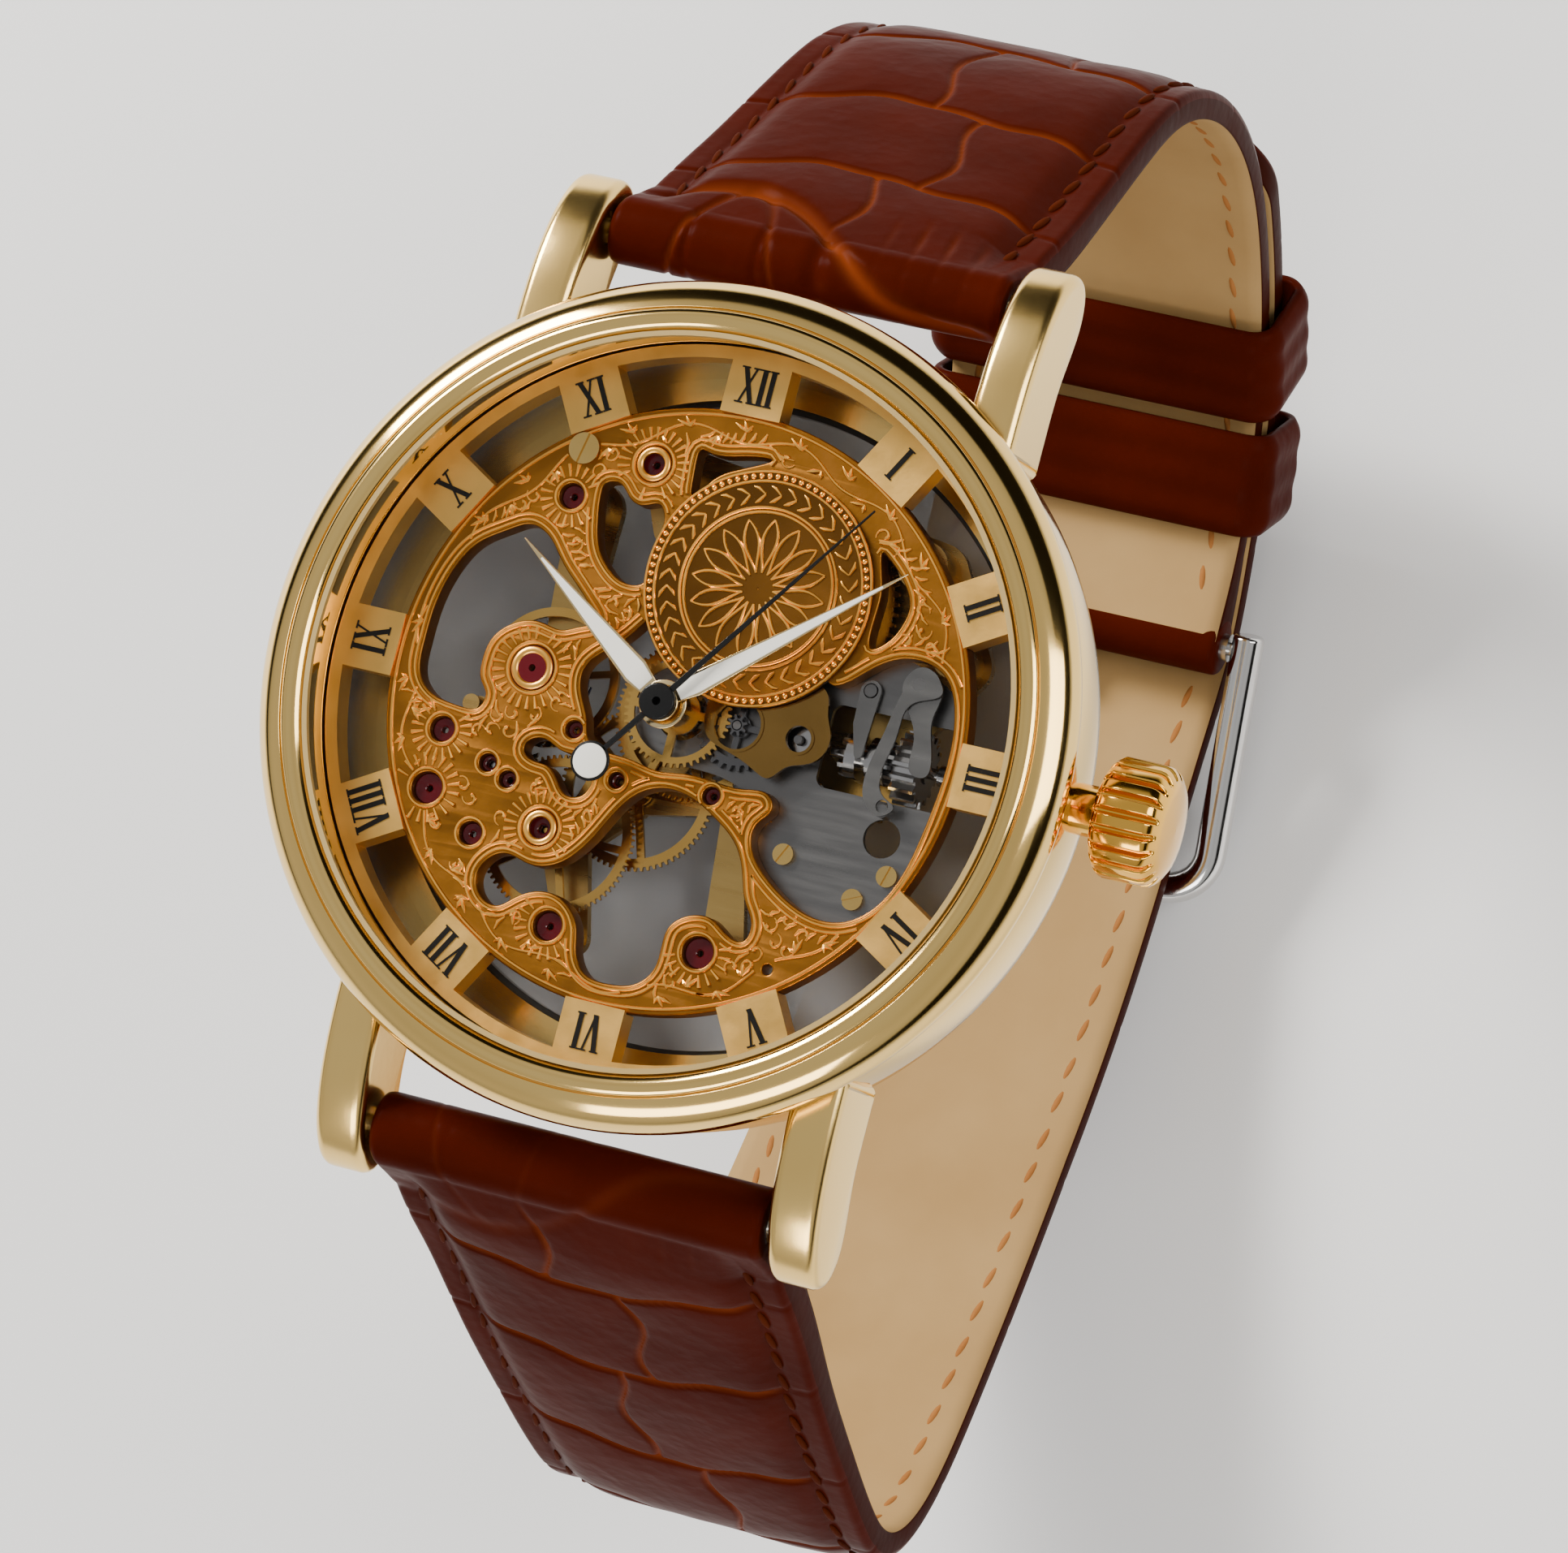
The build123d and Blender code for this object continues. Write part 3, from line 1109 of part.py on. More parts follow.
# Screw heads: (x, y, underside of head, radius, +1 for heads on the dial side).
screws = [(x, y, bridge_bottom, 0.62, -1) for x, y, _ in barrel_posts[1:] + train_posts[:3]]
screws += [(*cock_post[:2], bridge_bottom, 0.62, -1), (*crown_wheel_centre, ratchet_level, 1.3, -1)]
screws += [(x, y, plate_bottom, 0.5, 1) for x, y in keyless_screws]
screws += [(-7.6, 11.0, plate_top, 0.75, 1), (-4.1, 11.0, ratchet_level, 0.55, -1)]
head_height = 0.25
with BuildPart() as movement_screws:
    for x, y, z, radius, side in screws:
        base = z if side > 0 else z - head_height
        slot_base = z + head_height - 0.12 if side > 0 else z - head_height
        extrude(ring_face(level((x, y), base), radius), amount=head_height)
        with BuildSketch(level((x, y), slot_base)):
            Rectangle(3 * radius, 0.16, rotation=37 * x)
        extrude(amount=0.12, mode=Mode.SUBTRACT)
movement_screws.part.label = "movement_screws"
export_step(movement_screws.part, "parts/movement_screws.step")


# ================================================================ strap
def offset_points(points, distances, side):
    """Points moved sideways from a path: side +1 is the left of its travel."""
    moved = []
    for index, (y, z) in enumerate(points):
        before = points[max(index - 1, 0)]
        after = points[min(index + 1, len(points) - 1)]
        run = distance(before, after)
        normal = (-(after[1] - before[1]) / run * side, (after[0] - before[0]) / run * side)
        moved.append((y + normal[0] * distances[index], z + normal[1] * distances[index]))
    return moved


def strap_outline(inner, outer):
    """A closed side profile between two smooth edges, extruded later across the strap."""
    with BuildSketch(Plane.YZ) as face:
        with BuildLine():
            Spline(*inner)
            Line(inner[-1], outer[-1])
            Spline(*outer[::-1])
            Line(outer[0], inner[0])
        make_face()
    return face.sketch


def taper_face(half_lug, half_buckle):
    """Front view of a strap half: full width at the lugs, narrower from the turn down."""
    with BuildSketch(Plane.XZ) as face:
        with BuildLine():
            Polyline(
                (-half_lug, 8), (-half_lug, -4), (-half_buckle, -46), (-half_buckle, -62),
                (half_buckle, -62), (half_buckle, -46), (half_lug, -4), (half_lug, 8), close=True,
            )
        make_face()
    return face.sketch


upper_inner = [
    (21.1, 1.8), (23.4, -1.0), (26.0, -4.5), (29.0, -8.2), (32.4, -12.3), (35.3, -16.4), (36.9, -21.0),
    (37.3, -27.0), (36.0, -33.0), (32.9, -38.7), (28.9, -43.3), (24.2, -46.7), (19.3, -48.4), (14.5, -48.6),
]
upper_thickness = [3.2, 3.2, 3.1, 2.9, 2.6, 2.1, 1.9, 1.8, 1.8, 1.8, 1.8, 1.8, 2.0, 3.2]
lower_inner = [
    (-21.1, 1.8), (-23.0, -1.6), (-25.2, -6.4), (-28.2, -12.4), (-31.4, -19.6), (-34.0, -26.0),
    (-35.0, -30.6), (-33.6, -34.8), (-28.6, -38.9), (-20.0, -43.4), (-10.0, -47.6), (-2.0, -49.7),
    (4.0, -50.6), (9.5, -51.4), (14.5, -52.0), (19.9, -50.8), (25.3, -48.9), (30.6, -45.1),
    (34.8, -39.9), (37.9, -33.8), (38.95, -30.6),
]
lower_thickness = [3.2, 3.2, 3.0, 2.7, 2.4, 2.2, 2.1, 2.1, 2.1, 2.0, 1.9] + [1.8] * 10

with BuildPart() as strap_upper:
    upper_outer = offset_points(upper_inner, upper_thickness, 1)
    extrude(strap_outline(upper_inner, upper_outer), amount=12, both=True)
    for y, z in ((spring_bar_y, spring_bar_z), buckle_pin):
        extrude(ring_face(Plane(origin=(0, y, z), z_dir=(1, 0, 0)), 1.6), amount=12, both=True)
    taper = taper_face(strap_half_width_lug, strap_half_width_buckle)
    extrude(taper, amount=60, both=True, mode=Mode.INTERSECT)
    for y, z in ((spring_bar_y, spring_bar_z), buckle_pin):
        cut = ring_face(Plane(origin=(0, y, z), z_dir=(1, 0, 0)), spring_bar_radius + 0.05)
        extrude(cut, amount=12, both=True, mode=Mode.SUBTRACT)
    with Locations((0, buckle_pin[0] - 0.3, buckle_pin[1])):
        Box(2.6, 5.0, 6.0, mode=Mode.SUBTRACT)
strap_upper.part.label = "strap_upper"
export_step(strap_upper.part, "parts/strap_upper.step")

with BuildPart() as strap_lower:
    lower_outer = offset_points(lower_inner, lower_thickness, -1)
    extrude(strap_outline(lower_inner, lower_outer), amount=12, both=True)
    bar_plane = Plane(origin=(0, -spring_bar_y, spring_bar_z), z_dir=(1, 0, 0))
    extrude(ring_face(bar_plane, 1.6), amount=12, both=True)
    taper = taper_face(strap_half_width_lug, strap_half_width_buckle - 0.1)
    extrude(taper, amount=60, both=True, mode=Mode.INTERSECT)
    cut = ring_face(bar_plane, spring_bar_radius + 0.05)
    extrude(cut, amount=12, both=True, mode=Mode.SUBTRACT)
    with Locations((0, 8.7, -52.0)):
        Box(2.5, 4.2, 5.0, mode=Mode.SUBTRACT)
strap_lower.part.label = "strap_lower"
export_step(strap_lower.part, "parts/strap_lower.step")

with BuildPart() as spring_bars:
    bar_places = [
        (spring_bar_y, spring_bar_z, lug_gap / 2), (-spring_bar_y, spring_bar_z, lug_gap / 2),
        (*buckle_pin, buckle_half_width - 1.4),
    ]
    for y, z, half_length in bar_places:
        shaft = ring_face(Plane(origin=(0, y, z), z_dir=(1, 0, 0)), spring_bar_radius)
        extrude(shaft, amount=half_length - 0.4, both=True)
        tip = ring_face(Plane(origin=(0, y, z), z_dir=(1, 0, 0)), 0.42)
        extrude(tip, amount=half_length + 0.6, both=True)
spring_bars.part.label = "spring_bars"
export_step(spring_bars.part, "parts/spring_bars.step")

# ================================================================ buckle and keepers
frame_tilt = direction(buckle_bar, buckle_pin)
frame_middle = (
    (buckle_bar[0] + buckle_pin[0]) / 2 + 0.2, (buckle_bar[1] + buckle_pin[1]) / 2,
)
frame_length = distance(buckle_bar, buckle_pin) + 3.2
frame_plane = Plane(
    origin=(0, frame_middle[0], frame_middle[1]),
    x_dir=(1, 0, 0),
    z_dir=(0, -sin(radians(frame_tilt)), cos(radians(frame_tilt))),
)
with BuildPart() as buckle_frame:
    with BuildSketch(frame_plane.offset(-0.95)):
        RectangleRounded(2 * buckle_half_width, frame_length, 2.2)
        RectangleRounded(2 * buckle_half_width - 3.4, frame_length - 3.2, 1.0, mode=Mode.SUBTRACT)
        with Locations((0, frame_length / 2)):
            Rectangle(2 * buckle_half_width - 3.4, 7.0, mode=Mode.SUBTRACT)
    extrude(amount=1.9)
    broad_faces = buckle_frame.faces().sort_by(SortBy.AREA)[-2:]
    chamfer(broad_faces.edges(), 0.45)
    cut = ring_face(Plane(origin=(0, *buckle_pin), z_dir=(1, 0, 0)), 0.45)
    extrude(cut, amount=buckle_half_width - 0.6, both=True, mode=Mode.SUBTRACT)
buckle_frame.part.label = "buckle_frame"
export_step(buckle_frame.part, "parts/buckle_frame.step")

tongue_path = [buckle_pin, (11.6, -50.4), (9.4, -51.8), (7.4, -53.9), (3.5, -55.6), (0.9, -55.75)]
tongue_half = 0.45
with BuildPart() as buckle_tongue:
    sides = [tongue_half] * len(tongue_path)
    with BuildSketch(Plane.YZ):
        with BuildLine():
            Polyline(
                *offset_points(tongue_path, sides, 1), *offset_points(tongue_path, sides, -1)[::-1],
                close=True,
            )
        make_face()
        with Locations(buckle_pin):
            Circle(1.35)
        with Locations(buckle_pin):
            Circle(spring_bar_radius + 0.05, mode=Mode.SUBTRACT)
    extrude(amount=0.95, both=True)
buckle_tongue.part.label = "buckle_tongue"
export_step(buckle_tongue.part, "parts/buckle_tongue.step")


def keeper_plane(place, travel):
    """Plane across the strap: X across its width, Y out of its thickness."""
    tangent = (0, cos(radians(travel)), sin(radians(travel)))
    return Plane(origin=(0, place[0], place[1]), x_dir=(1, 0, 0), z_dir=tangent)


keepers = {"keeper_free": ((29.95, -45.15), 44.0, 5.6), "keeper_fixed": ((23.88, -49.05), 24.5, 5.6)}
keeper_inner = (2 * strap_half_width_buckle + 0.9, 5.1)
keeper_wall = 0.85

with BuildPart() as keeper_free:
    place, travel, length = keepers["keeper_free"]
    with BuildSketch(keeper_plane(place, travel).offset(-length / 2)):
        RectangleRounded(keeper_inner[0] + 2 * keeper_wall, keeper_inner[1] + 2 * keeper_wall, 1.6)
        RectangleRounded(*keeper_inner, 0.8, mode=Mode.SUBTRACT)
    extrude(amount=length)
keeper_free.part.label = "keeper_free"
export_step(keeper_free.part, "parts/keeper_free.step")

with BuildPart() as keeper_fixed:
    place, travel, length = keepers["keeper_fixed"]
    with BuildSketch(keeper_plane(place, travel).offset(-length / 2)):
        RectangleRounded(keeper_inner[0] + 2 * keeper_wall, keeper_inner[1] + 2 * keeper_wall, 1.6)
        RectangleRounded(*keeper_inner, 0.8, mode=Mode.SUBTRACT)
    extrude(amount=length)
keeper_fixed.part.label = "keeper_fixed"
export_step(keeper_fixed.part, "parts/keeper_fixed.step")
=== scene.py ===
import math

import bmesh
import bpy
import numpy as np
from mathutils import Matrix, Vector


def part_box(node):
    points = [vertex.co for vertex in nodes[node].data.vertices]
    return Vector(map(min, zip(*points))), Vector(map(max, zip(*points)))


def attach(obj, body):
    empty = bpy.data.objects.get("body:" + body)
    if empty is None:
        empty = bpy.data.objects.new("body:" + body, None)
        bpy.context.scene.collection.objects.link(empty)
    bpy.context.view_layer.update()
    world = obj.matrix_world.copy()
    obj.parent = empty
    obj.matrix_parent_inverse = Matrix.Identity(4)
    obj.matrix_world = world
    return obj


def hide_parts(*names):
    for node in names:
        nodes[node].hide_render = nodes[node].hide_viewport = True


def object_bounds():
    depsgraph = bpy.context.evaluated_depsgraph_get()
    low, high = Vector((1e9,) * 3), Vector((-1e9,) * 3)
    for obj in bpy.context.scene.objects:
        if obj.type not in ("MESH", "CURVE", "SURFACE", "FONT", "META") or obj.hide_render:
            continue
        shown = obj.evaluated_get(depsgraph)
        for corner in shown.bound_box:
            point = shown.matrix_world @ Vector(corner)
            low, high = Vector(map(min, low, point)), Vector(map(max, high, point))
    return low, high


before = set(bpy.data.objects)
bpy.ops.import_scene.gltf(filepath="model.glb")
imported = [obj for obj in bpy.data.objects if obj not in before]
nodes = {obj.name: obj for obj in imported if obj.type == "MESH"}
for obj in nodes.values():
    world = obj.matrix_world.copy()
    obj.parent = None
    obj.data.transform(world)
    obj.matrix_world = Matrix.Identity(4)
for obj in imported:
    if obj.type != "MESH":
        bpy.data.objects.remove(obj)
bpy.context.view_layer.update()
mm = 0.001

# ---------------------------------------------------------------- Bezel
# The bezel is one turned and mirror-polished ring, plated in pale champagne gold. Its broad outer
# band rolls over to a fine line, then a narrow raised band holds the crystal.


def blank(name):
    """A new material, its node tree and its shader."""
    material = bpy.data.materials.new(name)
    material.use_nodes = True
    return material, material.node_tree, material.node_tree.nodes["Principled BSDF"]


def feed(tree, node, inputs):
    """Gives each named input of a node a value, or joins another node's output to it."""
    for key, value in inputs.items():
        if isinstance(value, bpy.types.NodeSocket):
            tree.links.new(value, node.inputs[key])
        else:
            node.inputs[key].default_value = value


def add(tree, kind, inputs, **settings):
    """A new shader node, with its settings made first and its inputs fed after."""
    node = tree.nodes.new("ShaderNode" + kind)
    for key, value in settings.items():
        setattr(node, key, value)
    feed(tree, node, inputs)
    return node


def own_place(tree):
    """Places measured on the piece itself."""
    return add(tree, "TexCoord", {}).outputs["Object"]


def cloudy(tree, place, scale, detail=2):
    """An uneven cloud of values, over a place or over the piece's whole extent."""
    inputs = {"Scale": scale, "Detail": detail}
    if place:
        inputs["Vector"] = place
    return add(tree, "TexNoise", inputs).outputs["Fac"]


def between(tree, share, first, second):
    """A colour between two others."""
    ends = [c if isinstance(c, bpy.types.NodeSocket) else (*c, 1) for c in (first, second)]
    mix = add(tree, "Mix", {"Factor": share, "A": ends[0], "B": ends[1]}, data_type="RGBA")
    return mix.outputs["Result"]


def graded(tree, share, low, high):
    """A value between two others."""
    return add(tree, "MapRange", {"Value": share, "To Min": low, "To Max": high}).outputs["Result"]


def marked(tree, height, strength, depth):
    """Fine marks in a surface, of a depth in metres."""
    marks = add(tree, "Bump", {"Strength": strength, "Distance": depth, "Height": height})
    return marks.outputs["Normal"]


def metal(name, colour, dark, roughness, grain=900.0, bump=0.02, stretch=(1, 1, 1)):
    """Plated or polished metal: cloudy tone, faint wear in the roughness and fine tool marks."""
    material, tree, shader = blank(name)
    place = add(tree, "Mapping", {"Scale": stretch, "Vector": own_place(tree)}).outputs["Vector"]
    cloud = cloudy(tree, place, grain / 4, 6)
    feed(tree, shader, {
        "Metallic": 1.0,
        "Base Color": between(tree, cloud, dark, colour),
        "Roughness": graded(tree, cloud, roughness * 0.7, roughness * 1.35),
        "Normal": marked(tree, cloudy(tree, place, grain * 3, 3), bump, 0.0001),
    })
    return material


def smooth_path(points, count):
    """Evenly spaced points on a natural cubic curve through the given ones."""
    points = np.array(points, float)
    knots = np.r_[0, np.cumsum(np.linalg.norm(np.diff(points, axis=0), axis=1))]
    number = len(points)
    gaps = np.diff(knots)
    system = np.eye(number)
    bend = np.zeros_like(points)
    for i in range(1, number - 1):
        system[i, i - 1 : i + 2] = gaps[i - 1], 2 * (gaps[i - 1] + gaps[i]), gaps[i]
        bend[i] = 6 * (
            (points[i + 1] - points[i]) / gaps[i] - (points[i] - points[i - 1]) / gaps[i - 1]
        )
    second = np.linalg.solve(system, bend)

    def at(places):
        cell = np.clip(np.searchsorted(knots, places) - 1, 0, number - 2)
        gap = gaps[cell][:, None]
        before = (knots[cell + 1] - places)[:, None]
        after = (places - knots[cell])[:, None]
        return (
            second[cell] * before**3 / (6 * gap)
            + second[cell + 1] * after**3 / (6 * gap)
            + (points[cell] / gap - second[cell] * gap / 6) * before
            + (points[cell + 1] / gap - second[cell + 1] * gap / 6) * after
        )

    fine = at(np.linspace(0, knots[-1], 4000))
    length = np.r_[0, np.cumsum(np.linalg.norm(np.diff(fine, axis=0), axis=1))]
    even = np.linspace(0, length[-1], count)
    return np.column_stack([np.interp(even, length, fine[:, k]) for k in range(points.shape[1])])


def placed(name, data):
    """An object in the scene, from its mesh, curve, lamp or camera."""
    piece = bpy.data.objects.new(name, data)
    bpy.context.scene.collection.objects.link(piece)
    return piece


def new_piece(name, vertices, faces, *materials):
    """A smooth-shaded mesh object from points in millimetres."""
    mesh = bpy.data.meshes.new(name)
    mesh.from_pydata([tuple(float(c) * mm for c in v) for v in vertices], [], faces)
    for material in materials:
        mesh.materials.append(material)
    mesh.validate()
    mesh.shade_smooth()
    return placed(name, mesh)


def ring_faces(rows, ring, joined_up=False, turned_over=False):
    """Faces between rows of points, each row a closed ring. The last row may join the first."""
    faces = []
    for row in range(rows if joined_up else rows - 1):
        here, there = row * ring, (row + 1) % rows * ring
        for c in range(ring):
            after = (c + 1) % ring
            if turned_over:
                faces.append((here + c, here + after, there + after, there + c))
            else:
                faces.append((here + c, there + c, there + after, here + after))
    return faces


def capped(faces, rows, ring, turned_over=False):
    """The same faces with both end rings closed."""
    ends = [tuple(range(ring)), tuple((rows - 1) * ring + c for c in range(ring))[::-1]]
    return faces + ([end[::-1] for end in ends] if turned_over else ends)


def turned(name, profile, material, steps=288, centre=(0, 0)):
    """A lathe-turned ring or disc about a vertical line, from (radius, height) points."""
    vertices = []
    for step in range(steps):
        angle = 2 * math.pi * step / steps
        for radius, z in profile:
            vertices.append(
                (centre[0] + radius * math.cos(angle), centre[1] + radius * math.sin(angle), z)
            )
    return new_piece(name, vertices, ring_faces(steps, len(profile), joined_up=True), material)


def soften(piece, width, segments=3, angle=35):
    """Rounds the sharp edges of a piece by a width in millimetres and keeps its flats flat."""
    mesh = bmesh.new()
    mesh.from_mesh(piece.data)
    bmesh.ops.remove_doubles(mesh, verts=mesh.verts, dist=0.002 * mm)
    bmesh.ops.dissolve_degenerate(mesh, edges=mesh.edges, dist=0.0005 * mm)
    bmesh.ops.recalc_face_normals(mesh, faces=mesh.faces)
    mesh.to_mesh(piece.data)
    mesh.free()
    piece.data.shade_smooth()
    if width:
        bevel = piece.modifiers.new("rounding", "BEVEL")
        bevel.width = width * mm
        bevel.segments = segments
        bevel.limit_method = "ANGLE"
        bevel.angle_limit = math.radians(angle)
        bevel.harden_normals = True
    else:
        weighted = piece.modifiers.new("shading", "WEIGHTED_NORMAL")
        weighted.keep_sharp = True
    bpy.context.view_layer.update()
    shaped = piece.evaluated_get(bpy.context.evaluated_depsgraph_get())
    final = bpy.data.meshes.new_from_object(shaped)
    piece.modifiers.clear()
    piece.data = final
    return piece


def belongs(piece, body, finish, *stands_for):
    """Ties a piece to its body and hides the solids it stands for. Its finish is not used."""
    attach(piece, body)
    if stands_for:
        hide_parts(*stands_for)


champagne = (0.96, 0.67, 0.23)
champagne_dark = (0.88, 0.57, 0.17)
case_gold = metal("case_gold", champagne, champagne_dark, 0.10, grain=500, bump=0.012)
outer_band = smooth_path([(19.55, 6.9), (20.0, 7.75), (19.72, 8.6), (19.1, 9.18), (18.5, 9.45)], 26)
inner_band = smooth_path([(18.36, 9.48), (18.1, 9.62), (17.8, 9.6), (17.5, 9.42), (17.36, 9.2)], 14)
bezel_profile = [(17.35, 6.9)]
bezel_profile += [tuple(p) for p in outer_band]
bezel_profile += [(18.46, 9.42), (18.43, 9.33), (18.39, 9.33), (18.37, 9.44)]
bezel_profile += [tuple(p) for p in inner_band]
bezel = soften(turned("bezel_ring", bezel_profile, case_gold, 360), 0.05, 2, 50)
belongs(bezel, "case", "gold", "bezel")

# ---------------------------------------------------------------- Case middle and lugs
# The case band and its four slim lugs are one forging, milled, polished and plated to match the
# bezel. The lugs run straight out from the band and end in a rounded, downturned tip.
band_profile = [
    (17.35, 0.7), (18.5, 0.7), (18.95, 1.1), (19.3, 2.0), (19.4, 2.9), (19.4, 6.3), (19.25, 6.75),
    (19.0, 6.88), (17.35, 6.88),
]
case_band = soften(turned("case_band", band_profile, case_gold, 360), 0.18, 4, 25)
belongs(case_band, "case", "gold", "case_middle")


def cast(name, curve, material):
    """The solid mesh of a curve that has thickness, in one material."""
    holder = placed(name, curve)
    bpy.context.view_layer.update()
    mesh = bpy.data.meshes.new_from_object(
        holder.evaluated_get(bpy.context.evaluated_depsgraph_get())
    )
    bpy.data.objects.remove(holder)
    mesh.materials.clear()
    mesh.materials.append(material)
    return mesh


def slab(name, loops, bottom, top, material, round_by=0.1, segments=3):
    """A flat plate with windows, from closed loops of points, with its edges rounded."""
    outline = bpy.data.curves.new(name, "CURVE")
    outline.dimensions = "2D"
    outline.fill_mode = "BOTH"
    for loop in loops:
        spline = outline.splines.new("POLY")
        spline.points.add(len(loop) - 1)
        for point, (x, y) in zip(spline.points, loop):
            point.co = (x * mm, y * mm, 0, 1)
        spline.use_cyclic_u = True
    outline.extrude = ((top - bottom) / 2 - round_by) * mm
    outline.bevel_depth = round_by * mm
    outline.bevel_resolution = segments
    outline.offset = -round_by * mm
    mesh = cast(name, outline, material)
    mesh.transform(Matrix.Translation((0, 0, (top + bottom) / 2 * mm)))
    return soften(placed(name, mesh), 0)


def joined(name, pieces):
    """Several meshes made into one, keeping each one's materials."""
    joined_mesh = bmesh.new()
    materials = []
    for piece in pieces:
        before = len(joined_mesh.faces)
        piece.data.transform(piece.matrix_world)
        joined_mesh.from_mesh(piece.data)
        joined_mesh.faces.ensure_lookup_table()
        lookup = []
        for material in piece.data.materials:
            if material not in materials:
                materials.append(material)
            lookup.append(materials.index(material))
        for face in joined_mesh.faces[before:]:
            face.material_index = lookup[face.material_index] if lookup else 0
    mesh = bpy.data.meshes.new(name)
    joined_mesh.to_mesh(mesh)
    joined_mesh.free()
    for material in materials:
        mesh.materials.append(material)
    whole = placed(name, mesh)
    for piece in pieces:
        bpy.data.objects.remove(piece)
    whole.data.shade_smooth()
    whole.data.set_sharp_from_angle(angle=math.radians(40))
    return whole


lug_gold = metal("lug_gold", champagne, champagne_dark, 0.2, grain=700, bump=0.03)
lug_side = smooth_path(
    [(14.6, 6.55), (17.5, 6.45), (19.8, 6.1), (22.0, 5.3), (23.6, 4.1), (24.35, 2.8), (24.3, 1.7),
     (23.6, 0.95), (22.4, 0.6), (20.8, 0.85), (19.0, 1.35), (16.8, 1.5), (14.6, 1.5)],
    72,
)
for number, (side_x, side_y) in enumerate([(1, 1), (-1, 1), (-1, -1), (1, -1)]):
    lug = slab(f"lug_{number}", [lug_side], 10.3, 12.8, lug_gold, 0.55, 6)
    turn = Matrix(((0, 0, side_x, 0), (side_y, 0, 0, 0), (0, 1, 0, 0), (0, 0, 0, 1)))
    lug.data.transform(turn)
    if side_x * side_y < 0:
        lug.data.flip_normals()
    belongs(lug, "case", "gold")

# ---------------------------------------------------------------- Crystal and gaskets
# The crystal is a thin, slightly domed mineral glass with a polished edge. It is pressed into
# an amber nylon gasket, and the back window sits in a black rubber one.


def clear_glass(name, tint, opacity, roughness):
    """Thin mineral glass with a faint film of smears."""
    material, tree, shader = blank(name)
    smear = cloudy(tree, own_place(tree), 120, 5)
    feed(tree, shader, {
        "Base Color": (*tint, 1),
        "IOR": 1.5,
        "Specular IOR Level": 0.12,
        "Alpha": graded(tree, smear, opacity * 0.7, opacity * 1.3),
        "Roughness": graded(tree, smear, roughness, roughness * 2.5),
    })
    return material


crystal_glass = clear_glass("crystal_glass", (0.02, 0.02, 0.02), 0.02, 0.01)
dome = smooth_path([(0.02, 10.24), (6.0, 10.18), (12.0, 9.96), (16.85, 9.6)], 40)
crystal_profile = [tuple(p) for p in dome] + [(17.07, 9.42), (17.07, 9.2), (17.0, 9.16), (0.02, 9.16)]
crystal = soften(turned("crystal_glass_disc", crystal_profile, crystal_glass, 240), 0)
belongs(crystal, "case", "crystal", "crystal")


def rubber(name, colour):
    """Moulded rubber or nylon with a fine speck."""
    material, tree, shader = blank(name)
    speck = cloudy(tree, None, 2500)
    feed(tree, shader, {
        "Roughness": 0.55,
        "Base Color": between(tree, speck, colour, [min(1, c * 1.5 + 0.01) for c in colour]),
        "Normal": marked(tree, speck, 0.15, 0.00005),
    })
    return material


def dress(material, *names):
    """Gives CAD pieces that stay as they are their finish."""
    for name in names:
        mesh = nodes[name].data
        mesh.materials.clear()
        mesh.materials.append(material)


dress(rubber("amber_nylon", (0.30, 0.20, 0.06)), "crystal_gasket")
dress(rubber("black_rubber", (0.02, 0.02, 0.02)), "case_back_gasket", "crown_gasket")

# ---------------------------------------------------------------- Case back
# The back is a screwed ring with six key notches round a flat mineral window. The window is tinted a
# mostly opaque grey, painted shade standing in for the shaded space behind the watch, so the wheels
# stand out against a soft grey.
dress(metal("back_gold", champagne, champagne_dark, 0.22, grain=700, bump=0.05), "case_back")
shade_grey_glass = clear_glass("shade_tinted_window", (0.30, 0.31, 0.33), 0.82, 0.05)
dress(shade_grey_glass, "case_back_glass")

# ---------------------------------------------------------------- Movement ring
# A turned ring of satin steel centres the movement in the case and carries the hour ring. It goes
# in from behind and is held down by the case back.
ring_steel = metal("ring_steel", (0.42, 0.41, 0.41), (0.26, 0.25, 0.25), 0.24, grain=900, bump=0.05)
dress(ring_steel, "movement_ring")

# ---------------------------------------------------------------- Crown and tube
# The crown is turned from steel, cut with deep round flutes for the fingers and gilt. It slides on
# a short tube that is pressed into the case band.
crown_gold = metal("crown_gold", (0.93, 0.54, 0.10), (0.82, 0.40, 0.05), 0.12, grain=600, bump=0.02)
stem_height = (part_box("crown")[0].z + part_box("crown")[1].z) / 2 / mm
crown_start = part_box("crown")[0].x / mm
crown_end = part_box("crown")[1].x / mm


